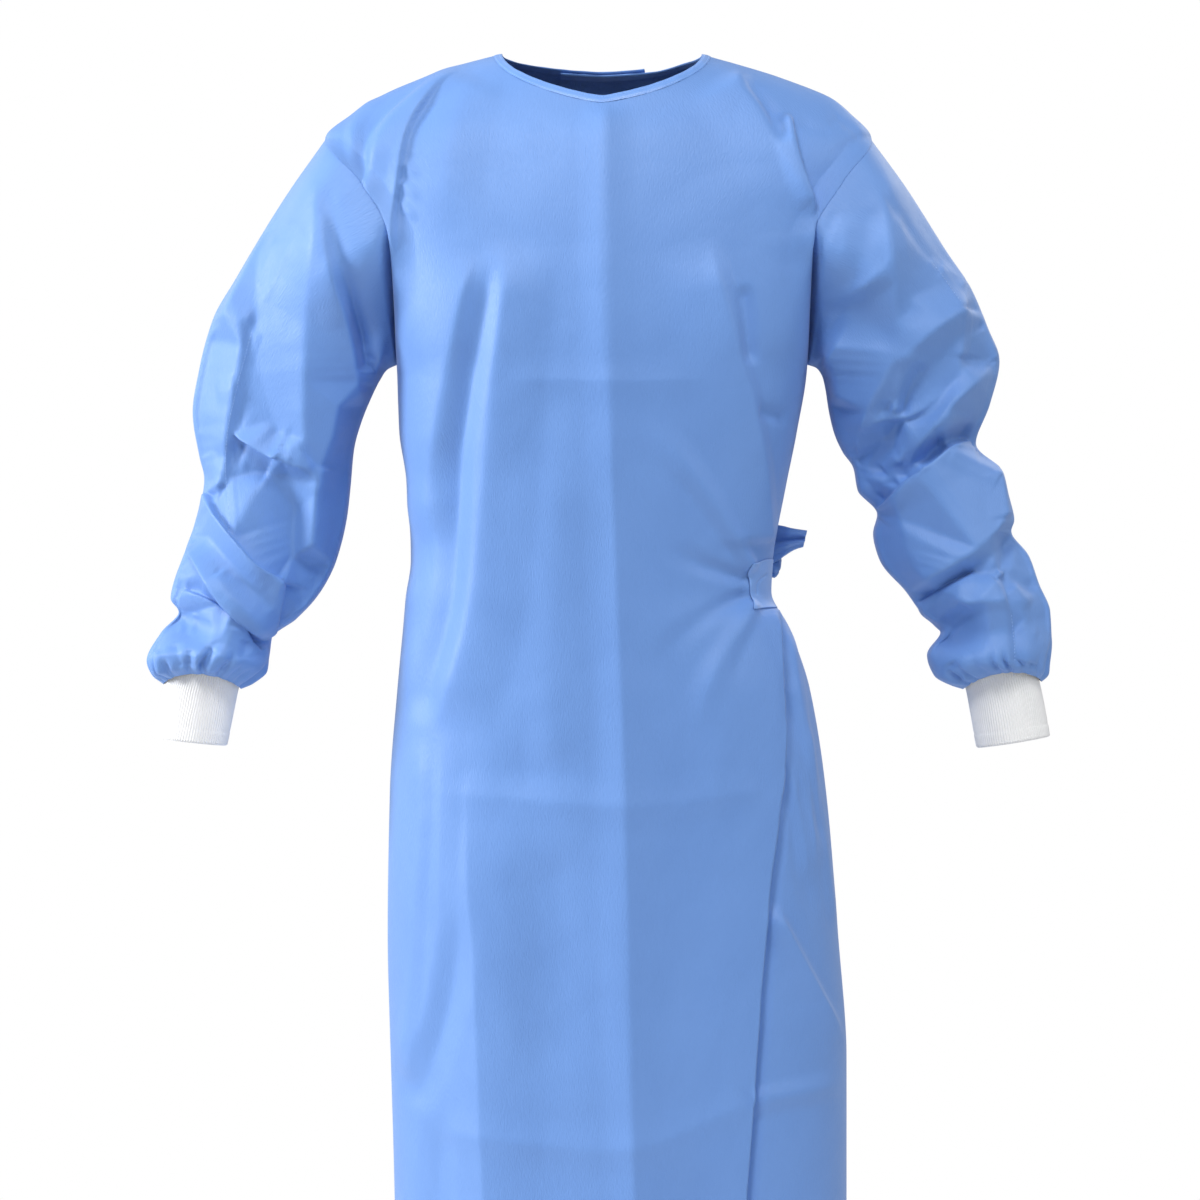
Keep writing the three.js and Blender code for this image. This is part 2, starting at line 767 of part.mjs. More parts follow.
// Knit cuff: ribs raised on the outside over a plain inside
function makeCuff(side, sections) {
  const outsideColumns = 2 * cuffRibs;
  const ring = (section, columns, grow) => {
    const points = [];
    for (let j = 0; j < columns; j += 1) {
      const angle = (2 * Math.PI * j) / columns;
      const point = ovalPoint(section, angle);
      const rise = grow(j);
      point.x += side * Math.cos(angle) * rise;
      point.y -= Math.sin(angle) * rise;
      points.push(point);
    }
    return points;
  };
  const outside = sections.map((s) => ring(s, outsideColumns, (j) => (j % 2 === 0 ? ribHeight : 0)));
  const inside = sections.map((s) => ring(s, cuffInsideColumns, () => -cuffWall));
  const positions = [];
  for (const row of [...outside, ...inside]) {
    for (const point of row) {
      positions.push(point.x, point.y, point.z);
    }
  }
  const rows = sections.length;
  const insideStart = rows * outsideColumns;
  const outAt = (i, j) => i * outsideColumns + (j % outsideColumns);
  const inAt = (i, j) => insideStart + i * cuffInsideColumns + (j % cuffInsideColumns);
  const indices = [];
  const triangle = (a, b, c) => indices.push(...(side < 0 ? [a, c, b] : [a, b, c]));
  for (let i = 0; i + 1 < rows; i += 1) {
    for (let j = 0; j < outsideColumns; j += 1) {
      triangle(outAt(i, j), outAt(i, j + 1), outAt(i + 1, j + 1));
      triangle(outAt(i, j), outAt(i + 1, j + 1), outAt(i + 1, j));
    }
    for (let j = 0; j < cuffInsideColumns; j += 1) {
      triangle(inAt(i, j), inAt(i + 1, j + 1), inAt(i, j + 1));
      triangle(inAt(i, j), inAt(i + 1, j), inAt(i + 1, j + 1));
    }
  }
  const ratio = outsideColumns / cuffInsideColumns;
  for (let j = 0; j < cuffInsideColumns; j += 1) {
    for (let k = 0; k < ratio; k += 1) {
      triangle(inAt(0, j), outAt(0, j * ratio + k + 1), outAt(0, j * ratio + k));
      triangle(inAt(rows - 1, j), outAt(rows - 1, j * ratio + k), outAt(rows - 1, j * ratio + k + 1));
    }
    triangle(inAt(0, j), inAt(0, j + 1), outAt(0, (j + 1) * ratio));
    triangle(inAt(rows - 1, j), outAt(rows - 1, (j + 1) * ratio), inAt(rows - 1, j + 1));
  }
  const geometry = new THREE.BufferGeometry();
  geometry.setAttribute("position", new THREE.Float32BufferAttribute(positions, 3));
  geometry.setIndex(indices);
  return geometry;
}

// Ties lie on the rows of the panels under them
const strapRows = [];
rowHeights.forEach((height, i) => {
  if (height <= tieTop && height >= tieBottom) {
    strapRows.push(i);
  }
});

function strapGeometry(stops) {
  const grid = strapRows.map((i) => stops.map((stop) => stop.at(i)));
  const normals = strapRows.map((i) => stops.map((stop) => stop.normal(i)));
  const outside = moved(grid, normals, layGap + strapWall);
  return wallGeometry(outside, moved(grid, normals, layGap), false, -1);
}

const panelStop = (panel, j) => ({ at: (i) => panel.grid[i][j], normal: (i) => panel.normals[i][j] });

// A stop between two columns of a panel
function betweenStop(panel, j, share) {
  const mix = (list, i) => list[i][j].clone().lerp(list[i][j + 1], share);
  return { at: (i) => mix(panel.grid, i), normal: (i) => mix(panel.normals, i).normalize() };
}

const lastFront = frontAngles.length - 1;
const tabRow = frontPanel.grid[strapRows[1]];
let tabColumn = 0;
while (tabRow[tabColumn + 1].x < tabStart) {
  tabColumn += 1;
}
const tabShare = (tabStart - tabRow[tabColumn].x) / (tabRow[tabColumn + 1].x - tabRow[tabColumn].x);
const frontStops = [betweenStop(frontPanel, tabColumn, tabShare)];
for (let j = tabColumn + 1; j < lastFront; j += 1) {
  frontStops.push(panelStop(frontPanel, j));
}
const knotColumn = innerColumns - tieFrontColumnsBack;
for (let j = innerColumns; j >= knotColumn; j -= 1) {
  frontStops.push(panelStop(innerBack, j));
}

const backStops = [betweenStop(innerBack, knotColumn - 1, tieBackShare)];
let flapColumn = knotColumn - 1;
const flapEdge = outerBack.grid[strapRows[1]][backColumns].x;
while (innerBack.grid[strapRows[1]][flapColumn].x > flapEdge + flapClear) {
  backStops.push(panelStop(innerBack, flapColumn));
  flapColumn -= 1;
}
for (let j = backColumns; j > backColumns - tieBackOverlap; j -= 1) {
  backStops.push(panelStop(outerBack, j));
}

// Knot: a soft lump on the ends of the two ties
function knotGeometry() {
  const row = strapRows[0];
  const centre = innerBack.grid[row][knotColumn].clone();
  const out = innerBack.normals[row][knotColumn].clone();
  centre.addScaledVector(out, layGap + strapWall + knotGap + knotHalf.out);
  const lump = new THREE.SphereGeometry(1, knotSegments.around, knotSegments.down);
  lump.deleteAttribute("normal");
  lump.deleteAttribute("uv");
  const turn = Math.atan2(out.y, out.x);
  lump.rotateX(Math.PI / 2);
  lump.scale(knotHalf.out, knotHalf.along, knotHalf.up);
  lump.rotateZ(turn);
  lump.translate(centre.x, centre.y, centre.z);
  return lump;
}

function tailGeometry() {
  const outside = [];
  const inside = [];
  for (const section of tailSections) {
    const rowOut = [];
    const rowIn = [];
    for (const share of tailShares) {
      const ripple = Math.abs(share) < 1 ? tailRipple * Math.sign(share) : 0;
      const x = section.x + section.half * share * section.lean * tailSwing;
      const y = section.y - section.half * share * section.lean + ripple;
      const z = section.z + section.half * share;
      rowOut.push(new THREE.Vector3(x, y, z));
      rowIn.push(new THREE.Vector3(x, y + strapWall, z));
    }
    outside.push(rowOut);
    inside.push(rowIn);
  }
  return wallGeometry(outside, inside, false, 1);
}

const cloth = new THREE.MeshStandardMaterial({ color: clothBlue, roughness: 0.8 });
const bindingCloth = new THREE.MeshStandardMaterial({ color: bindingBlue, roughness: 0.6 });
const strapCloth = new THREE.MeshStandardMaterial({ color: strapBlue, roughness: 0.75 });
const knit = new THREE.MeshStandardMaterial({ color: knitWhite, roughness: 0.9 });

const gown = new THREE.Group();
gown.name = "surgical_gown";
function add(name, geometry, material) {
  const mesh = new THREE.Mesh(geometry, material);
  mesh.name = name;
  gown.add(mesh);
}

add("front_panel", frontPanel.geometry, cloth);
add("back_panel_outer", outerBack.geometry, cloth);
add("back_panel_inner", innerBack.geometry, cloth);
add("sleeve_right", makeSleeve(-1, rightSleeve, rightSleeveFolds, rightSleeveBackFolds), cloth);
add("sleeve_left", makeSleeve(1, leftSleeve, leftSleeveFolds, leftSleeveBackFolds), cloth);
add("cuff_right", makeCuff(-1, rightCuff), knit);
add("cuff_left", makeCuff(1, leftCuff), knit);
add("neck_binding", bindingGeometry(), bindingCloth);
add("belt_front", strapGeometry(frontStops), strapCloth);
add("belt_back", strapGeometry(backStops), strapCloth);
add("belt_knot", knotGeometry(), strapCloth);
add("belt_tail", tailGeometry(), strapCloth);

export default gown;
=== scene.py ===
import math
import bmesh
import bpy
import numpy as np
from mathutils import Matrix, Vector, bvhtree, geometry, noise


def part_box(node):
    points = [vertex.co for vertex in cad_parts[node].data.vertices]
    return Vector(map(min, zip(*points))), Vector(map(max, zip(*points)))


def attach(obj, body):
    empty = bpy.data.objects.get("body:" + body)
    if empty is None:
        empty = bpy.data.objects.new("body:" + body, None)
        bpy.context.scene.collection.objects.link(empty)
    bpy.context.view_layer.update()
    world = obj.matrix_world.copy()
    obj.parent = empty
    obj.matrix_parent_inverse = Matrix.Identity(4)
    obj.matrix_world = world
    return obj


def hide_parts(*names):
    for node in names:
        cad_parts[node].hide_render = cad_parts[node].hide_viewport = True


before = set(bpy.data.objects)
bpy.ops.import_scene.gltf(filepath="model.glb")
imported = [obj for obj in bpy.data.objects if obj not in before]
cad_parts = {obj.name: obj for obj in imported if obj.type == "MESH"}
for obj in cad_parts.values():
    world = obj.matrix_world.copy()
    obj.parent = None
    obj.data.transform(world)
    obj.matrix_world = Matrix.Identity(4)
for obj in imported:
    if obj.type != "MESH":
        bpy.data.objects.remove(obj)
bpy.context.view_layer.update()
print("frame loaded, nodes:", len(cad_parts))

# sizes are in millimetres until a mesh is written in metres
mm = 0.001
front, back = -1, 1

gown = {
    "hem": -1270,            # height of the hem below the neck sides
    "shoulderTip": -79,
    "underarm": -288,
    "armholeDepth": 62,      # half depth of the armhole
    "neckHalfWidth": 93,
    "neckDip": {front: 47, back: 10},
    "neckBend": 1.2,         # roundness of the neck line
    "wrapSink": 4.4,         # how far the inner back lies under the outer one
    "seamSink": 0.6,         # dip of the sleeve seam
    "seamReach": 2,
    "grooveSink": 28,        # depth of the crease between body and sleeve above the underarm
    "grooveReach": 8,
    "grooveFrom": (-160, -215),
    "levelInset": 24,        # how far in from the sleeve seam the cloth runs level
    "levelReach": 60,
    "levelFade": (-170, -255),
    "easeEdge": 16,          # width beside the edges of a panel that is left as drafted
    "easeSpread": 11,
    "levelSleeve": 96,
}

# body sections downwards: height, right edge, left edge, front depth, back depth, roundness
bodySections = [
    (0, -93, 93, -28, 30, 2.0), (-10, -131, 128, -50, 58, 2.0), (-22, -167, 166, -66, 74, 2.0),
    (-38, -204, 206, -79, 86, 2.05), (-56, -233, 231, -90, 97, 2.1), (-79, -257, 250, -101, 106, 2.2),
    (-125, -221, 220, -116, 115, 2.4), (-177, -194, 192, -128, 120, 2.7), (-230, -191, 191, -135, 123, 2.8),
    (-290, -190, 190, -139, 125, 2.8), (-350, -188, 181, -139, 124, 2.6), (-400, -180, 171, -137, 122, 2.5),
    (-470, -177.5, 158.5, -134, 119, 2.5), (-500, -181, 156.5, -134, 119, 2.5),
    (-530, -184, 172, -135, 120, 2.5), (-590, -190, 193, -138, 123, 2.5), (-685, -197, 208, -141, 128, 2.4),
    (-815, -199, 219, -144, 133, 2.4), (-935, -196, 227, -146, 137, 2.4),
    (-1065, -192.5, 227, -148, 140, 2.4), (-1270, -190, 229, -151, 144, 2.4),
]

# lines that the columns of the front follow, as shares of the half width
frontGuides = [
    (-40, -0.62, 0, 0.8), (-290, -0.6, 0.034, 0.82), (-500, -0.63, 0.142, 0.86), (-600, -0.64, 0.105, 0.84),
    (-777, -0.645, 0.075, 0.67), (-961, -0.61, 0.064, 0.564), (-1065, -0.6, 0.062, 0.53),
    (-1270, -0.59, 0.06, 0.47),
]

# free edges of the two backs: height, outer, inner
wrapEdges = [
    (0, 38, -38), (-150, 70, -55), (-290, 92, -66), (-480, 104, -76), (-800, 122, -86), (-1270, 130, -92),
]


def smooth(low, high, x):
    t = np.clip((x - low) / (high - low), 0, 1)
    return t * t * (3 - 2 * t)


def curveThrough(xs, ys):
    # smooth curve through the points that never swings past them
    xs = np.asarray(xs, float)
    ys = np.asarray(ys, float)
    spans = np.diff(xs).reshape((-1,) + (1,) * (ys.ndim - 1))
    slopes = np.diff(ys, axis=0) / spans
    product = slopes[:-1] * slopes[1:]
    total = slopes[:-1] + slopes[1:]
    inner = np.where(product > 0, 2 * product / np.where(total == 0, 1, total), 0)
    tangents = np.concatenate([slopes[:1], inner, slopes[-1:]])

    def at(x):
        x = np.clip(np.asarray(x, float), xs[0], xs[-1])
        i = np.clip(np.searchsorted(xs, x) - 1, 0, len(xs) - 2)
        shape = x.shape + (1,) * (ys.ndim - 1)
        span = (xs[i + 1] - xs[i]).reshape(shape)
        t = (x - xs[i]).reshape(shape) / span
        a = 1 - t
        start = a * a * (1 + 2 * t) * ys[i] + a * a * t * span * tangents[i]
        return start + t * t * (3 - 2 * t) * ys[i + 1] - t * t * a * span * tangents[i + 1]

    return at


def tableCurves(table):
    rows = np.asarray(table, float)
    curves = [curveThrough(-rows[:, 0], rows[:, k]) for k in range(1, rows.shape[1])]
    return [lambda z, curve=curve: curve(-z) for curve in curves]


bodyRight, bodyLeft, bodyFront, bodyBack, bodyBend = tableCurves(bodySections)
guideCrease, guideCentre, guidePleat = tableCurves(frontGuides)
wrapOuter, wrapInner = tableCurves(wrapEdges)


def armholeDepth(z):
    centre, half = (gown["shoulderTip"] + gown["underarm"]) / 2, (gown["shoulderTip"] - gown["underarm"]) / 2
    level = (z - centre) / half
    return gown["armholeDepth"] * np.sqrt(np.clip(1 - level * level, 0, 1))


def angleAt(share, z):
    within = np.minimum(1, np.abs(share))
    return np.sign(share) * np.arcsin(within ** (bodyBend(z) / 2))


def shareAtX(x, z):
    return (x - (bodyLeft(z) + bodyRight(z)) / 2) / ((bodyLeft(z) - bodyRight(z)) / 2)


def sectionPoint(face, angle, z):
    # plain body section without folds
    power = 2 / bodyBend(z)
    across = np.sign(angle) * np.abs(np.sin(angle)) ** power
    forward = np.maximum(0, np.cos(angle)) ** power
    edge = face * armholeDepth(z)
    deep = bodyFront(z) if face == front else bodyBack(z)
    x = (bodyLeft(z) + bodyRight(z)) / 2 + (bodyLeft(z) - bodyRight(z)) / 2 * across
    return np.stack([x, edge + (deep - edge) * forward, z], axis=-1)


def seamAdvance(face, z):
    # how far the sleeve seam comes forward, so that shoulder and sleeve run on, and the depth it reaches
    share = 1 - gown["levelInset"] / ((bodyLeft(z) - bodyRight(z)) / 2)
    level = np.abs(sectionPoint(face, angleAt(share, z), z)[..., 1])
    edge = armholeDepth(z)
    fade = smooth(0.1, 0.7, edge / gown["armholeDepth"]) * (1 - smooth(*gown["levelFade"], z))
    return np.maximum(level - edge, 1) * fade, level


def grooveDepth(z):
    # the sleeve seam sinks between body and sleeve, deepest above the underarm
    steep = armholeDepth(z) / gown["armholeDepth"]
    return gown["grooveSink"] * smooth(*gown["grooveFrom"], z) * smooth(0, 0.7, steep)


def seamDip(z, far):
    # how far the cloth lies in at a distance from the sleeve seam
    ditch = gown["seamSink"] * (1 - smooth(0, gown["seamReach"], far))
    return ditch + grooveDepth(z) * (1 - smooth(0, gown["grooveReach"], far)) ** 1.5


def neckHeight(face, angleOf, columns):
    # height at which each column meets the neck line
    dip = gown["neckDip"][face]
    low = np.full(columns, -float(dip))
    high = np.zeros(columns)
    for _ in range(40):
        z = (low + high) / 2
        share = np.minimum(1, np.abs(sectionPoint(face, angleOf(z), z)[:, 0]) / gown["neckHalfWidth"])
        above = z > -dip * np.sqrt(1 - share ** gown["neckBend"])
        high = np.where(above, z, high)
        low = np.where(above, low, z)
    return (low + high) / 2


def unit(vectors):
    return vectors / np.maximum(np.linalg.norm(vectors, axis=-1, keepdims=True), 1e-9)


def softened(values, rounds):
    # each row mixed with the rows before and after it, ends kept
    for _ in range(rounds):
        values[1:-1] = (values[:-2] + 2 * values[1:-1] + values[2:]) / 4
    return values


def softenedGrid(points, rounds):
    for _ in range(rounds):
        softened(points, 1)
        softened(points.swapaxes(0, 1), 1)
    return points


def arcLength(points, axis):
    steps = np.linalg.norm(np.diff(points, axis=axis), axis=-1)
    start = np.zeros_like(np.take(steps, [0], axis=axis))
    return np.concatenate([start, np.cumsum(steps, axis=axis)], axis=axis)


def gridNormals(points, closed=False):
    # unit normals of a grid of points, rows down and columns across
    along = np.gradient(points, axis=0)
    if closed:
        wrapped = np.concatenate([points[:, -2:-1], points, points[:, 1:2]], axis=1)
        across = (wrapped[:, 2:] - wrapped[:, :-2]) / 2
    else:
        across = np.gradient(points, axis=1)
    return unit(np.cross(across, along))


def smoothPath(path, rounds=2):
    # rounded corners, ends kept
    points = np.asarray(path, float)
    for _ in range(rounds):
        if len(points) < 3:
            break
        a, b = points[:-1], points[1:]
        mixed = np.empty((2 * len(a), 2))
        mixed[0::2] = a * 0.75 + b * 0.25
        mixed[1::2] = a * 0.25 + b * 0.75
        points = np.concatenate([points[:1], mixed[1:-1], points[-1:]])
    return points


def measurePath(path, x, z):
    # distance from the path, above 0 on its left-hand side, place along it, and its direction there
    best = np.full(x.shape, 1e9)
    side = np.zeros(x.shape)
    along = np.zeros(x.shape)
    dirX = np.zeros(x.shape)
    dirZ = np.zeros(x.shape)
    total = 0.0
    for (ax, az), (bx, bz) in zip(path[:-1], path[1:]):
        length = math.hypot(bx - ax, bz - az)
        dx, dz = (bx - ax) / length, (bz - az) / length
        run = np.clip((x - ax) * dx + (z - az) * dz, 0, length)
        far = np.hypot(x - ax - run * dx, z - az - run * dz)
        closer = far < best
        cross = dx * (z - az) - dz * (x - ax)
        best = np.where(closer, far, best)
        side = np.where(closer, np.where(cross >= 0, far, -far), side)
        along = np.where(closer, total + run, along)
        dirX = np.where(closer, dx, dirX)
        dirZ = np.where(closer, dz, dirZ)
        total += length
    return side, along, total, dirX, dirZ


def ridge(path, rise, left, right, tip=1.5, ends=(20, 20), flare=(1, 1), power=1.0):
    # crease or soft ridge: reaches on its left-hand and right-hand sides, a trough if rise is below 0
    return dict(kind="ridge", path=path, rise=rise, left=left, right=right, tip=tip, ends=ends, flare=flare,
                power=power)


def lap(path, top, rise, dip, run, rest, lip, tuck, turn, ends=(10, 10)):
    # cloth lying over itself: the layer on the top side stands proud and hangs over the other one
    return dict(kind="lap", path=path, top=top, rise=rise, dip=dip, run=run, rest=rest, lip=lip, tuck=tuck,
                turn=turn, ends=ends)


def band(path, rise, half, edge, ends=(2, 2)):
    # flat raised strip, as of a felled seam
    return dict(kind="band", path=path, rise=rise, half=half, edge=edge, ends=ends)


# folds that the picture shows are given as its pixels, 1200 across, and stand for whole millimetres
photo = {
    "middle": 600,           # middle pixel, across and down
    "place": (-1.86, -506.85),   # where it lies on the plane through the shoulders
    "scale": 0.93,           # millimetres to a pixel there
    "distance": 4500,        # of the camera
    "bodyHalf": 200,         # rough half width, depth at the neck and further depth of the chest
    "neckDepth": 30,
    "chestDepth": 108,
    "chestHeight": -150,
    "sleeveDepth": 52,
}


def fromPixel(px, py, depth):
    # a surface that lies ahead of the plane by the depth is nearer to the camera
    size = photo["scale"] * (photo["distance"] - depth) / photo["distance"]
    x, z = photo["place"]
    return x + (px - photo["middle"]) * size, z + (photo["middle"] - py) * size


def bodyDepth(x, z):
    wide = min(1, abs(x) / photo["bodyHalf"])
    drop = min(1, max(0, z / photo["chestHeight"]))
    deep = photo["neckDepth"] + photo["chestDepth"] * drop ** 0.55
    return deep * (1 - wide ** 2.5) ** (1 / 2.5)


def bodyLine(*pixels):
    line = []
    for px, py in pixels:
        x, z = fromPixel(px, py, 0)
        for _ in range(3):
            x, z = fromPixel(px, py, bodyDepth(x, z))
        line.append((round(x), round(z)))
    return line


def sleeveLine(*pixels):
    places = [fromPixel(px, py, photo["sleeveDepth"]) for px, py in pixels]
    return [(round(x), round(z)) for x, z in places]


def foldMoves(x, z, folds, strength):
    # how far each point is raised, and how far it slides in the front view
    height = np.zeros(x.shape)
    slideX = np.zeros(x.shape)
    slideZ = np.zeros(x.shape)
    for fold in folds:
        path = smoothPath(fold["path"])
        kind = fold["kind"]
        if kind == "ridge":
            reach = 2.0 * max(fold["left"], fold["right"]) * max(fold["flare"])
        elif kind == "lap":
            reach = max(fold["run"], fold["rest"] + fold["turn"]) + 2
        else:
            reach = fold["half"] + 3 * fold["edge"]
        near = (x > path[:, 0].min() - reach) & (x < path[:, 0].max() + reach)
        near &= (z > path[:, 1].min() - reach) & (z < path[:, 1].max() + reach)
        if not near.any():
            continue
        side, along, total, dirX, dirZ = measurePath(path, x[near], z[near])
        startFade, endFade = (max(v, 0.01) for v in fold["ends"])
        fade = smooth(0, startFade, along + 0.01) * smooth(0, endFade, total - along + 0.01)
        if kind == "ridge":
            wide = fold["flare"][0] + (fold["flare"][1] - fold["flare"][0]) * along / total
            width = np.where(side > 0, fold["left"], fold["right"]) * wide
            tip = fold["tip"]
            level = 1 - (np.sqrt(side * side + tip * tip) - tip) / width
            foot = 0.16
            level = (level + np.sqrt(level * level + foot * foot)) / 2
            height[near] += strength * fold["rise"] * fade * level ** fold["power"]
        elif kind == "band":
            flank = smooth(fold["half"] + fold["edge"], fold["half"], np.abs(side))
            height[near] += fold["rise"] * fade * flank
        else:
            hand = 1 if fold["top"] == "left" else -1
            d = side * hand
            over = np.clip(1 - d / fold["run"], 0, 1)
            over = over * over * (2 - over)
            turned = smooth(0, fold["turn"], -d)
            rested = 1 - smooth(fold["turn"], fold["turn"] + fold["rest"], -d)
            upper = d >= 0
            under = (fold["rise"] + fold["dip"]) * (1 - turned) - fold["dip"]
            lift = np.where(upper, fold["rise"] * over, under)
            past = -d > fold["turn"]
            lift = np.where(past, -fold["dip"] * rested, lift)
            slide = np.where(upper, fold["lip"] * over, fold["lip"] - (fold["lip"] + fold["tuck"]) * turned)
            slide = np.where(past, -fold["tuck"] * rested, slide)
            height[near] += lift * fade
            slideX[near] += slide * fade * dirZ * hand
            slideZ[near] -= slide * fade * dirX * hand
    return height, slideX, slideZ


def crumple(points, spacing, seed):
    # fine sharp-bottomed creases that wander over the cloth
    scaled = points.reshape(-1, 3) / spacing
    values = [abs(noise.noise((x + seed, y - seed, z))) for x, y, z in scaled.tolist()]
    return np.array(values).reshape(points.shape[:-1])


def foldCloth(points, normals, folds, weight, fine, strength):
    # the grid with its folds, main ones listed and fine ones over the whole
    height, slideX, slideZ = foldMoves(points[..., 0], points[..., 2], folds, strength)
    slide = np.stack([slideX, np.zeros_like(slideX), slideZ], axis=-1)
    slide = slide - normals * np.sum(slide * normals, axis=-1, keepdims=True)
    broadSeed, sharpSeed = 3.7, 11.3
    small = fine["broad"] * crumple(points, fine["broadSpacing"], broadSeed)
    small += fine["sharp"] * crumple(points, fine["sharpSpacing"], sharpSeed)
    lift = (height + small) * weight
    return points + normals * lift[..., None] + slide * weight[..., None]


def linkPiece(name, mesh):
    piece = bpy.data.objects.new(name, mesh)
    bpy.context.scene.collection.objects.link(piece)
    return piece


def turnOutward(bm, face, outward):
    # all faces turned round if this one looks inwards
    if face.normal.dot(Vector(outward)) < 0:
        bmesh.ops.reverse_faces(bm, faces=bm.faces)


def gridPiece(name, points, uv, outward=None, closed=False):
    # a sheet on a grid of points in millimetres, with its own cloth coordinates in metres
    rows, columns = points.shape[:2]
    bm = bmesh.new()
    bmesh.ops.create_grid(bm, x_segments=columns - 1, y_segments=rows - 1, size=1)
    mesh = bpy.data.meshes.new(name)
    bm.to_mesh(mesh)
    bm.free()
    flat = np.empty(len(mesh.vertices) * 3)
    mesh.vertices.foreach_get("co", flat)
    flat = flat.reshape(-1, 3)
    j = np.rint((flat[:, 0] + 1) / 2 * (columns - 1)).astype(int)
    i = np.rint((flat[:, 1] + 1) / 2 * (rows - 1)).astype(int)
    mesh.vertices.foreach_set("co", (points[i, j] * mm).ravel())
    corner = np.empty(len(mesh.loops), int)
    mesh.loops.foreach_get("vertex_index", corner)
    layer = mesh.uv_layers.new(name="cloth")
    layer.data.foreach_set("uv", uv[i, j][corner].ravel())
    mesh.polygons.foreach_set("use_smooth", np.ones(len(mesh.polygons), bool))
    mesh.update()
    bm = bmesh.new()
    bm.from_mesh(mesh)
    if closed:
        bm.verts.ensure_lookup_table()
        seam = [bm.verts[k] for k in np.nonzero((j == 0) | (j == columns - 1))[0]]
        bmesh.ops.remove_doubles(bm, verts=seam, dist=1e-6)
    bm.normal_update()
    bm.faces.ensure_lookup_table()
    if outward:
        middle = bm.faces[len(bm.faces) // 2]
        turnOutward(bm, middle, outward(middle.calc_center_median()))
    bm.to_mesh(mesh)
    bm.free()
    return linkPiece(name, mesh)


def clothUv(points):
    # cloth coordinates from the plain form: across at a middle row, down along each column
    middle = points.shape[0] // 2
    across = arcLength(points[middle], 0)
    down = arcLength(points, 0)
    return np.stack([np.broadcast_to(across, down.shape), -down], axis=-1) * mm


# materials
def newMaterial(name):
    material = bpy.data.materials.new(name)
    material.use_nodes = True
    tree = material.node_tree
    tree.nodes.clear()
    output = tree.nodes.new("ShaderNodeOutputMaterial")
    shader = tree.nodes.new("ShaderNodeBsdfPrincipled")
    tree.links.new(shader.outputs["BSDF"], output.inputs["Surface"])
    return material, tree, shader


def addNode(tree, kind, **values):
    node = tree.nodes.new(kind)
    for key, value in values.items():
        if key in node.inputs:
            node.inputs[key].default_value = value
        else:
            setattr(node, key, value)
    return node


def mappedUv(tree, turn, scale):
    source = addNode(tree, "ShaderNodeUVMap", uv_map="cloth")
    mapping = addNode(tree, "ShaderNodeMapping")
    mapping.inputs["Rotation"].default_value = (0, 0, math.radians(turn))
    mapping.inputs["Scale"].default_value = scale
    tree.links.new(source.outputs["UV"], mapping.inputs["Vector"])
    return mapping.outputs["Vector"]


def noiseOn(tree, vector, scale, detail=2.0, roughness=0.5):
    texture = addNode(tree, "ShaderNodeTexNoise", Scale=scale, Detail=detail, Roughness=roughness)
    tree.links.new(vector, texture.inputs["Vector"])
    return texture.outputs["Fac"]


def mixColours(tree, factor, one, two):
    mix = addNode(tree, "ShaderNodeMix", data_type="RGBA")
    mix.inputs[6].default_value = (*one, 1)
    mix.inputs[7].default_value = (*two, 1)
    tree.links.new(factor, mix.inputs[0])
    return mix.outputs[2]


def rangeOf(tree, value, low, high, toLow, toHigh):
    node = addNode(tree, "ShaderNodeMapRange")
    for key, number in zip(("From Min", "From Max", "To Min", "To Max"), (low, high, toLow, toHigh)):
        node.inputs[key].default_value = number
    tree.links.new(value, node.inputs["Value"])
    return node.outputs["Result"]


def bumpOn(tree, height, strength, distance, before=None):
    node = addNode(tree, "ShaderNodeBump", Strength=strength, Distance=distance)
    tree.links.new(height, node.inputs["Height"])
    if before is not None:
        tree.links.new(before, node.inputs["Normal"])
    return node.outputs["Normal"]


nonwoven = {
    "light": (0.135, 0.284, 0.645),
    "dark": (0.120, 0.260, 0.605),
    "grain": 0.6,
    "creases": 0.08,
    "sheen": 0.12,
}


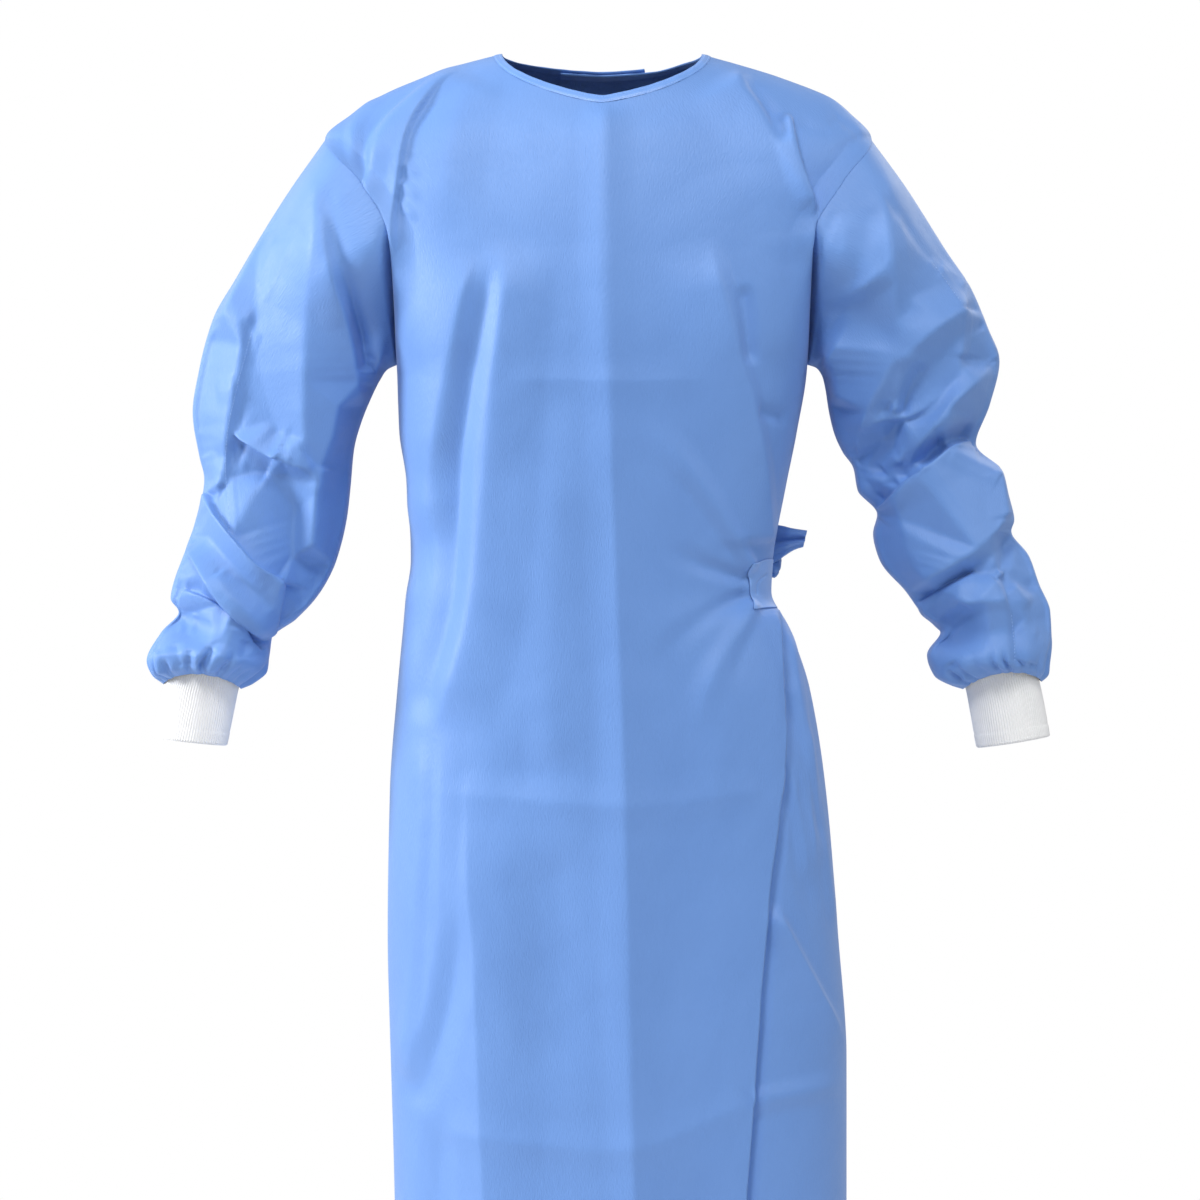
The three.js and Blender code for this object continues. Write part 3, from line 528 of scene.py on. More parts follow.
def nonwovenMaterial(name, look, roughness):
    # spunbonded cloth: crossed embossed dashes, hairline creases, faint clouding of the fibres
    material, tree, shader = newMaterial(name)
    leftDash = noiseOn(tree, mappedUv(tree, 38, (900, 190, 1)), 1.0)
    rightDash = noiseOn(tree, mappedUv(tree, -52, (780, 210, 1)), 1.0)
    both = addNode(tree, "ShaderNodeMath", operation="ADD")
    tree.links.new(leftDash, both.inputs[0])
    tree.links.new(rightDash, both.inputs[1])
    clouds = noiseOn(tree, mappedUv(tree, 0, (14, 9, 1)), 1.0, 4.0, 0.6)
    bent = addNode(tree, "ShaderNodeVectorMath", operation="ADD")
    wander = addNode(tree, "ShaderNodeTexNoise", Scale=1.0, Detail=2.0)
    plain = mappedUv(tree, 0, (26, 22, 1))
    tree.links.new(mappedUv(tree, 0, (7, 7, 1)), wander.inputs["Vector"])
    tree.links.new(plain, bent.inputs[0])
    tree.links.new(wander.outputs["Color"], bent.inputs[1])
    cells = addNode(tree, "ShaderNodeTexVoronoi", feature="DISTANCE_TO_EDGE", Scale=1.0)
    tree.links.new(bent.outputs["Vector"], cells.inputs["Vector"])
    hairline = rangeOf(tree, cells.outputs["Distance"], 0.0, 0.05, 1.0, 0.0)
    normal = bumpOn(tree, both.outputs["Value"], look["grain"], 0.0004)
    normal = bumpOn(tree, hairline, look["creases"], 0.0005, normal)
    shade = rangeOf(tree, clouds, 0.25, 0.75, 0.0, 1.0)
    tree.links.new(mixColours(tree, shade, look["dark"], look["light"]), shader.inputs["Base Color"])
    sheen = rangeOf(tree, leftDash, 0.2, 0.8, roughness - 0.08, roughness + 0.08)
    tree.links.new(sheen, shader.inputs["Roughness"])
    tree.links.new(normal, shader.inputs["Normal"])
    shader.inputs["Specular IOR Level"].default_value = 0.55
    shader.inputs["Sheen Weight"].default_value = look["sheen"]
    shader.inputs["Sheen Roughness"].default_value = 0.5
    return material


gownCloth = nonwovenMaterial("gown_cloth", nonwoven, 0.56)
# the tie is cut from the gown's own cloth; its paler colour here is painted light that makes up for the shade
# the tie lies in
paintedLightTieCloth = nonwovenMaterial("tie_cloth", {**nonwoven, "light": (0.19, 0.36, 0.74),
                                          "dark": (0.17, 0.33, 0.70)}, 0.5)
bindingCloth = nonwovenMaterial("binding_cloth", {**nonwoven, "light": (0.155, 0.32, 0.72),
                                                  "dark": (0.135, 0.29, 0.67),
                                                  "grain": 0.08, "creases": 0.1}, 0.36)


def knitMaterial(name):
    # fine rib knit: soft fuzz and faint patches
    material, tree, shader = newMaterial(name)
    fuzz = noiseOn(tree, mappedUv(tree, 0, (900, 240, 1)), 1.0, 3.0, 0.6)
    patch = noiseOn(tree, mappedUv(tree, 0, (60, 40, 1)), 1.0, 3.0, 0.5)
    normal = bumpOn(tree, fuzz, 0.15, 0.0003)
    shade = rangeOf(tree, patch, 0.3, 0.7, 0.0, 1.0)
    knitColour = mixColours(tree, shade, (0.77, 0.77, 0.775), (0.81, 0.81, 0.81))
    tree.links.new(knitColour, shader.inputs["Base Color"])
    tree.links.new(rangeOf(tree, fuzz, 0.2, 0.8, 0.84, 0.97), shader.inputs["Roughness"])
    tree.links.new(normal, shader.inputs["Normal"])
    shader.inputs["Specular IOR Level"].default_value = 0.2
    shader.inputs["Sheen Weight"].default_value = 0.05
    return material


ribKnit = knitMaterial("rib_knit")


def threadMaterial(name, colour):
    material, tree, shader = newMaterial(name)
    coordinate = addNode(tree, "ShaderNodeTexCoord")
    twist = noiseOn(tree, coordinate.outputs["Object"], 1400.0)
    threadColour = mixColours(tree, twist, tuple(0.85 * c for c in colour), colour)
    tree.links.new(threadColour, shader.inputs["Base Color"])
    tree.links.new(bumpOn(tree, twist, 0.3, 0.0002), shader.inputs["Normal"])
    shader.inputs["Roughness"].default_value = 0.55
    return material


seamThread = threadMaterial("seam_thread", (0.36, 0.56, 0.93))
print("materials made")


def finishPiece(piece, node, material):
    piece.data.materials.append(material)
    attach(piece, "root")
    if node:
        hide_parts(node)


# panels of the body
fineFolds = {"broad": 1.1, "broadSpacing": 95, "sharp": 0.5, "sharpSpacing": 38}


def rowShares(spans):
    # heights of the rows at the side edge: (lower end, step) downwards from the neck
    heights = [0.0]
    for end, step in spans:
        count = max(1, round((heights[-1] - end) / step))
        heights.extend(np.linspace(heights[-1], end, count + 1)[1:])
    return np.array(heights)


def easedDown(values, z, spread):
    # values softened along each column over a distance
    out = values.copy()
    step = np.abs(np.gradient(z, axis=0))
    rounds = 80
    share = np.clip((spread / step) ** 2 / (2 * rounds), 0, 0.25)
    for _ in range(rounds):
        out[1:-1] += share[1:-1] * (out[:-2] - 2 * out[1:-1] + out[2:])
    return out


def panelGrid(face, angleOf, columns, rows, sink=None):
    # plain grid of a panel and the angle of each point
    top = neckHeight(face, angleOf, columns)
    z = top[None, :] + rows[:, None] * (1 - top[None, :] / gown["hem"])
    angle = np.stack([angleOf(row) for row in z])
    points = sectionPoint(face, angle, z)
    across = arcLength(points, 1)
    inside = smooth(0, gown["easeEdge"], np.minimum(across, across[:, -1:] - across))
    points[..., 1] += inside * (easedDown(points[..., 1], z, gown["easeSpread"]) - points[..., 1])
    if sink is not None:
        normals = gridNormals(points) * face
        points = points + normals * sink(points[..., 0], z)[..., None]
    return points, angle


def evenSpans(edges, counts):
    # columns spread between guide lines
    def angleOf(z):
        lines = [edge(z) for edge in edges]
        place = 0
        out = np.empty(z.shape)
        for k, count in enumerate(counts):
            share = np.arange(count) / count
            part = slice(place, place + count)
            out[part] = lines[k][part] + (lines[k + 1][part] - lines[k][part]) * share
            place += count
        out[place] = lines[-1][place]
        return out

    return angleOf


frontPanel = {
    "columns": (76, 54, 56, 60),
    "rows": [(-300, 2.0), (gown["hem"], 3.9)],
    "flat": (0.64, 1.30),    # cut at its widest and longest, in metres
    "cutArea": 0.729,
    "strength": 1.2,
    "folds": [
        # right shoulder: a roll drops from the neck and hangs over the chest
        lap(bodyLine((462, 66), (443, 81), (424, 105), (415, 119), (409, 131), (405, 144), (402, 160),
                     (400, 178), (398, 198), (396, 218), (396, 240), (396, 262)),
            "right", 4.6, 0.8, 38, 14, 1, 0.5, 2.8, ends=(60, 24)),
        ridge(bodyLine((402, 164), (410, 169), (422, 180)), 1.3, 5, 6, tip=1, ends=(4, 14)),
        ridge(bodyLine((401, 184), (409, 190), (423, 203)), 1.4, 5, 6, tip=1, ends=(4, 16)),
        ridge(bodyLine((400, 204), (408, 211), (420, 224)), 1.3, 5, 6, tip=1, ends=(4, 14)),
        ridge(bodyLine((466, 58), (440, 82), (412, 106), (391, 130), (379, 156), (374, 186), (378, 216)),
              4, 14, 11, tip=2, ends=(40, 25)),
        ridge(bodyLine((436, 68), (408, 92), (384, 118), (370, 142), (366, 168), (370, 196)),
              -3.2, 8, 10, tip=2, ends=(40, 20)),
        ridge(bodyLine((384, 92), (364, 112), (355, 134), (358, 160), (364, 184)), 2, 8, 8, ends=(20, 12)),
        ridge(bodyLine((476, 72), (462, 100), (452, 140), (446, 190), (446, 240)),
              3, 30, 24, tip=6, ends=(20, 60)),
        # left shoulder: a fold runs from the neck to the underarm, with a dark tuck beside it
        ridge(bodyLine((729, 66), (745, 88), (757, 108), (770, 134), (782, 161), (794, 186), (803, 208),
                       (807, 236), (808, 270)),
              5, 12, 44, tip=1.2, ends=(20, 30)),
        ridge(bodyLine((741, 76), (755, 92), (768, 110), (778, 130), (786, 150)),
              -3.6, 9, 8, tip=1.2, ends=(18, 16)),
        lap(bodyLine((784, 112), (787, 128), (790, 146), (794, 164), (799, 182), (804, 200), (808, 222)),
            "right", 10, 1, 18, 30, 0.5, 0.5, 9,
            ends=(14, 22)),
        ridge(bodyLine((800, 124), (812, 133), (830, 138)), -1.1, 7, 7, tip=0.8, ends=(4, 8)),
        ridge(bodyLine((824, 133), (831, 130), (839, 123)), -1.1, 6, 6, tip=0.8, ends=(6, 4)),
        ridge(bodyLine((836, 130), (846, 133), (857, 145)), -1.1, 6, 6, tip=0.8, ends=(6, 4)),
        ridge(bodyLine((812, 89), (830, 103), (843, 118), (853, 131), (860, 146)), 2, 10, 40, ends=(25, 10)),
        # press creases of the folded gown
        ridge(bodyLine((605, 99), (605, 150), (605, 200), (606, 250), (607, 300), (610, 360), (612, 420),
                       (613, 480), (615, 540), (618, 600), (620, 660), (623, 720), (625, 780), (627, 840),
                       (629, 900), (630, 960), (631, 1020), (631, 1080), (633, 1140), (635, 1200),
                       (637, 1290), (640, 1380), (643, 1460)),
              3.6, 26, 28, tip=0.5, ends=(20, 0), power=1.5),
        ridge(bodyLine((604, 99), (606, 300), (612, 480), (620, 660), (627, 860), (631, 1050), (637, 1290),
                       (643, 1460)), 4, 90, 80, tip=6, ends=(40, 0)),
        ridge(bodyLine((500, 381), (560, 380), (611, 382), (660, 381), (715, 379)),
              1.6, 22, 24, tip=0.6, ends=(40, 40), power=1.4),
        ridge(bodyLine((440, 790), (472, 796), (550, 802), (626, 808), (700, 800), (762, 789)),
              2, 24, 24, tip=0.6, ends=(30, 15), power=1.4),
        ridge(bodyLine((430, 1128), (485, 1138), (560, 1146), (635, 1151), (690, 1128), (744, 1100)),
              2, 24, 24, tip=0.6, ends=(30, 10), power=1.4),
        ridge(bodyLine((468, 770), (470, 850), (472, 900), (476, 940), (477, 990), (479, 1020), (480, 1050),
                       (483, 1110), (486, 1180), (490, 1290), (497, 1460)),
              7, 60, 34, tip=0.8, ends=(110, 0), power=1.2),
        # soft folds of the right side
        ridge(bodyLine((476, 250), (463, 300), (456, 330), (450, 360), (445, 390), (440, 420), (435, 450),
                       (433, 480), (431, 510), (428, 550)),
              7, 20, 40, tip=2.5, ends=(45, 45)),
        ridge(bodyLine((492, 255), (484, 300), (480, 330), (475, 360), (470, 390), (465, 420), (459, 450),
                       (457, 480), (457, 510), (455, 540), (454, 570), (451, 600), (446, 630), (437, 660),
                       (429, 690), (416, 725)), -4.5, 15, 15, tip=3, ends=(40, 30)),
        ridge(bodyLine((506, 235), (502, 300), (497, 360), (492, 420), (488, 480), (483, 540), (477, 600),
                       (471, 630), (463, 660), (452, 690), (438, 730)),
              8, 42, 22, tip=5, ends=(55, 50)),
        ridge(bodyLine((420, 735), (424, 800), (421, 860), (417, 900), (414, 960), (410, 1020),
                       (404, 1070)), 3, 10, 16, tip=1.5, ends=(40, 30)),
        ridge(bodyLine((441, 730), (443, 800), (441, 880), (440, 930), (435, 960), (430, 990), (424, 1020),
                       (416, 1050), (403, 1082)),
              3, 16, 20, tip=2, ends=(60, 20)),
        ridge(bodyLine((466, 900), (462, 930), (459, 960), (455, 990), (446, 1020), (434, 1050),
                       (424, 1080), (408, 1112)), -2.6, 18, 14, tip=3, ends=(60, 25)),
        ridge(bodyLine((440, 1110), (438, 1160), (436, 1230), (434, 1290), (431, 1460)),
              -3, 16, 16, tip=3, ends=(40, 0)),
        ridge(bodyLine((404, 560), (408, 640), (404, 720)), 2.5, 10, 10, tip=2, ends=(40, 60)),
        # pull of the waist tie
        ridge(bodyLine((708, 235), (716, 270), (724, 300), (730, 330), (736, 360), (747, 390), (752, 420),
                       (757, 450), (762, 480), (764, 510), (767, 545)),
              7, 12, 48, tip=1.5, ends=(50, 10)),
        ridge(bodyLine((742, 282), (746, 300), (749, 330), (751, 368)), -4, 9, 9, tip=1.5, ends=(15, 15)),
        ridge(bodyLine((752, 411), (770, 414), (790, 419)), -3.5, 9, 7, tip=1, ends=(8, 8)),
        ridge(bodyLine((756, 572), (735, 540), (705, 490), (672, 448), (640, 418)),
              4.5, 14, 14, tip=2, ends=(8, 80), flare=(0.4, 1.3)),
        ridge(bodyLine((754, 580), (725, 572), (690, 560), (650, 540)), -4, 12, 12, tip=2, ends=(8, 70),
              flare=(0.4, 1.3)),
        ridge(bodyLine((756, 600), (730, 640), (705, 690), (690, 750)), 4.5, 16, 16, tip=2, ends=(8, 80),
              flare=(0.4, 1.3)),
        ridge(bodyLine((752, 592), (715, 610), (675, 640), (640, 690)), -3, 14, 14, tip=2, ends=(8, 80),
              flare=(0.4, 1.3)),
        # pleat that hangs from the tie, over the left side
        lap(bodyLine((771, 604), (775, 630), (777, 660), (780, 690), (781, 720), (780, 750), (779, 780),
                     (774, 810), (770, 840), (766, 870), (763, 900), (757, 960), (753, 1020), (749, 1080),
                     (744, 1140), (740, 1200), (735, 1290), (730, 1380), (726, 1460)),
                     "right", 5, 7, 55, 12, 4, 3.5, 5, ends=(30, 0)),
        ridge(bodyLine((768, 902), (790, 945), (820, 1003), (848, 1056)), 7, 8, 16, tip=0.5, ends=(24, 60)),
        ridge(bodyLine((744, 1100), (795, 1089), (850, 1075)), 4, 13, 15, tip=0.5, ends=(5, 45)),
        ridge(bodyLine((783, 712), (791, 770), (800, 830), (808, 890)), 3, 6, 7, tip=0.8, ends=(25, 30)),
        ridge(bodyLine((803, 720), (813, 790), (823, 860), (834, 940)), 2.6, 7, 6, tip=0.8, ends=(25, 40)),
        ridge(bodyLine((790, 690), (806, 770), (818, 850)), -3, 6, 6, tip=1, ends=(20, 30)),
        ridge(bodyLine((773, 607), (785, 630), (793, 660), (800, 720), (807, 790), (813, 900)),
              5, 9, 16, tip=1, ends=(8, 60)),
        ridge(bodyLine((786, 650), (792, 720), (800, 830), (812, 930)), -3.5, 10, 12, tip=2.5, ends=(30, 60)),
        # slack of the skirt
        ridge(bodyLine((560, 420), (552, 560), (548, 700), (545, 780)), 3, 40, 40, tip=8, ends=(80, 40)),
        ridge(bodyLine((520, 700), (524, 760), (528, 820)), -2.5, 22, 26, tip=6, ends=(50, 50)),
        ridge(bodyLine((680, 620), (676, 760), (672, 900), (668, 1080)), -3.5, 36, 36, tip=8, ends=(60, 80)),
        ridge(bodyLine((730, 640), (726, 720), (712, 840)), 3.5, 26, 34, tip=5, ends=(50, 80)),
        ridge(bodyLine((555, 830), (560, 960), (566, 1100)), -3, 40, 40, tip=8, ends=(50, 60)),
        ridge(bodyLine((560, 1180), (556, 1300), (552, 1460)), 3, 40, 40, tip=8, ends=(70, 0)),
        ridge(bodyLine((692, 1150), (690, 1280), (690, 1460)), -3, 34, 36, tip=8, ends=(70, 0)),
    ],
}


def halfTurn(sign):
    return lambda z: np.full(np.shape(z), sign * math.pi / 2)


frontAngle = evenSpans(
    [halfTurn(-1), lambda z: angleAt(guideCrease(z), z), lambda z: angleAt(guideCentre(z), z),
     lambda z: angleAt(guidePleat(z), z), halfTurn(1)], frontPanel["columns"])
frontPlain, frontTurn = panelGrid(front, frontAngle, sum(frontPanel["columns"]) + 1,
                                  rowShares(frontPanel["rows"]))
frontNormals = gridNormals(frontPlain) * front
frontWeight = smooth(0, 0.3, np.cos(frontTurn))


def sinkSeams(grid, plain, face, edges):
    # the sleeve seams of a panel drawn into the body
    across = arcLength(plain, 1)
    for edge in edges:
        far = across if edge < 0 else across[:, -1:] - across
        seamHeight = plain[:, :1, 2] if edge < 0 else plain[:, -1:, 2]
        sink = seamDip(seamHeight, far)
        ahead, level = seamAdvance(face, seamHeight)
        below = np.clip((level - np.abs(plain[..., 1])) / np.maximum(level - armholeDepth(seamHeight), 1),
                        0, 1)
        grid[..., 1] += face * ahead * below * (1 - np.clip(far / gown["levelReach"], 0, 1) ** 3)
        grid[..., 1] -= face * sink
        grid[..., 0] -= edge * sink * 0.15
    return grid


frontGrid = foldCloth(frontPlain, frontNormals, frontPanel["folds"],
                      frontWeight, fineFolds, frontPanel["strength"])
frontGrid = sinkSeams(frontGrid, frontPlain, front, (-1, 1))
frontPiece = gridPiece("gown_front", frontGrid, clothUv(frontPlain), lambda p: (0, -1, 0))
finishPiece(frontPiece, "front_panel", gownCloth)
print("front panel folded", len(frontPiece.data.polygons))

backPanels = {
    "columns": 128,
    "rows": [(-80, 2.0), (-300, 2.6), (gown["hem"], 4.2)],
    "strength": 1.5,
    "outerFlat": (0.42, 1.30),
    "outerArea": 0.489,
    "innerFlat": (0.41, 1.30),
    "innerArea": 0.458,
    "outerFolds": [
        ridge([(-110, -18), (-128, -60), (-150, -110), (-168, -170), (-176, -240)],
              7, 16, 30, tip=2, ends=(15, 50)),
        ridge([(-92, -20), (-108, -70), (-128, -130), (-146, -200)], -5, 14, 12, tip=3, ends=(15, 50)),
        ridge([(-40, -30), (-52, -120), (-58, -230), (-62, -330)], 3, 40, 34, tip=5, ends=(40, 80)),
        ridge([(-140, -260), (-150, -380), (-140, -520), (-138, -760), (-146, -1000), (-150, -1290)],
              6, 26, 22, tip=3,
              ends=(60, 0)),
        ridge([(-108, -330), (-104, -520), (-98, -760), (-104, -1000), (-108, -1290)], -5.5, 24, 24, tip=4,
              ends=(60, 0)),
        ridge([(-62, -380), (-60, -620), (-66, -900), (-70, -1290)], 3, 34, 30, tip=1.2, ends=(80, 0)),
        ridge([(-20, -300), (-12, -520), (-4, -760), (0, -1000), (4, -1290)],
              -4, 30, 34, tip=5, ends=(80, 0)),
        ridge([(18, -40), (20, -200), (24, -420), (30, -760), (34, -1290)],
              3.6, 50, 50, tip=1.2, ends=(30, 0)),
        ridge([(64, -420), (74, -700), (82, -1000), (86, -1290)], -3.5, 24, 24, tip=4, ends=(60, 0)),
        ridge([(-190, -306), (-120, -312), (-40, -308), (60, -312)], 1.4, 30, 28, tip=0.8, ends=(20, 20)),
        ridge([(-190, -690), (-100, -698), (0, -694), (110, -700)], 1.6, 30, 30, tip=0.8, ends=(20, 10)),
        ridge([(-190, -1010), (-90, -1004), (20, -1012), (120, -1006)], 1.5, 30, 30, tip=0.8, ends=(20, 10)),
        ridge([(98, -482), (60, -470), (10, -436), (-50, -400)], 4, 14, 14, tip=2, ends=(8, 80),
              flare=(0.4, 1.4)),
        ridge([(98, -500), (50, -506), (-10, -520), (-70, -560)], -3.5, 14, 14, tip=2, ends=(8, 80),
              flare=(0.4, 1.4)),
        ridge([(100, -512), (70, -560), (40, -640), (26, -720)], 4, 16, 16, tip=2, ends=(8, 90),
              flare=(0.4, 1.4)),
    ],
    "innerFolds": [
        ridge([(110, -18), (128, -60), (150, -110), (166, -170), (174, -240)],
              7, 30, 16, tip=2, ends=(15, 50)),
        ridge([(92, -20), (110, -70), (130, -130), (146, -200)], -5, 12, 14, tip=3, ends=(15, 50)),
        ridge([(152, -260), (150, -400), (140, -480)], 5, 20, 18, tip=3, ends=(50, 20)),
        ridge([(142, -510), (160, -620), (170, -800), (176, -1000), (178, -1290)],
              6, 24, 24, tip=3, ends=(20, 0)),
        ridge([(150, -640), (146, -800), (148, -1000), (150, -1290)], -5, 18, 18, tip=3, ends=(60, 0)),
        ridge([(196, -560), (206, -760), (208, -1000), (208, -1290)], 3, 14, 14, tip=2, ends=(40, 0)),
        ridge([(150, -306), (190, -312)], 1.2, 24, 24, tip=0.8, ends=(6, 6)),
        ridge([(125, -700), (170, -694), (212, -700)], 1.5, 26, 26, tip=0.8, ends=(6, 6)),
        ridge([(130, -1006), (180, -1012), (222, -1004)], 1.5, 26, 26, tip=0.8, ends=(6, 6)),
        ridge([(128, -474), (140, -430), (150, -380)], 3, 10, 10, tip=2, ends=(6, 40), flare=(0.5, 1.3)),
    ],
}


def flapSink(x, z):
    return -gown["wrapSink"] * (1 - smooth(12, 44, x - wrapOuter(z)))


backRows = rowShares(backPanels["rows"])
backCount = backPanels["columns"]
outerAngle = evenSpans([halfTurn(-1), lambda z: angleAt(shareAtX(wrapOuter(z), z), z)], (backCount,))
innerAngle = evenSpans([lambda z: angleAt(shareAtX(wrapInner(z), z), z), halfTurn(1)], (backCount,))
outerPlain, outerTurn = panelGrid(back, outerAngle, backCount + 1, backRows)
innerPlain, innerTurn = panelGrid(back, innerAngle, backCount + 1, backRows, flapSink)
outerNormals = gridNormals(outerPlain) * back
innerNormals = gridNormals(innerPlain) * back
outerWeight = smooth(0, 0.3, np.cos(outerTurn))
pastFlap = innerPlain[..., 0] - wrapOuter(innerPlain[..., 2])
innerWeight = smooth(0, 0.3, np.cos(innerTurn)) * smooth(-4, 34, pastFlap)
outerGrid = foldCloth(outerPlain, outerNormals, backPanels["outerFolds"],
                      outerWeight, fineFolds, backPanels["strength"])
innerGrid = foldCloth(innerPlain, innerNormals, backPanels["innerFolds"],
                      innerWeight, fineFolds, backPanels["strength"])
outerGrid = sinkSeams(outerGrid, outerPlain, back, (-1,))
innerGrid = sinkSeams(innerGrid, innerPlain, back, (1,))
outerPiece = gridPiece("gown_back_outer", outerGrid, clothUv(outerPlain), lambda p: (0, 1, 0))
innerPiece = gridPiece("gown_back_inner", innerGrid, clothUv(innerPlain), lambda p: (0, 1, 0))
finishPiece(outerPiece, "back_panel_outer", gownCloth)
finishPiece(innerPiece, "back_panel_inner", gownCloth)
print("backs folded", len(outerPiece.data.polygons), len(innerPiece.data.polygons))

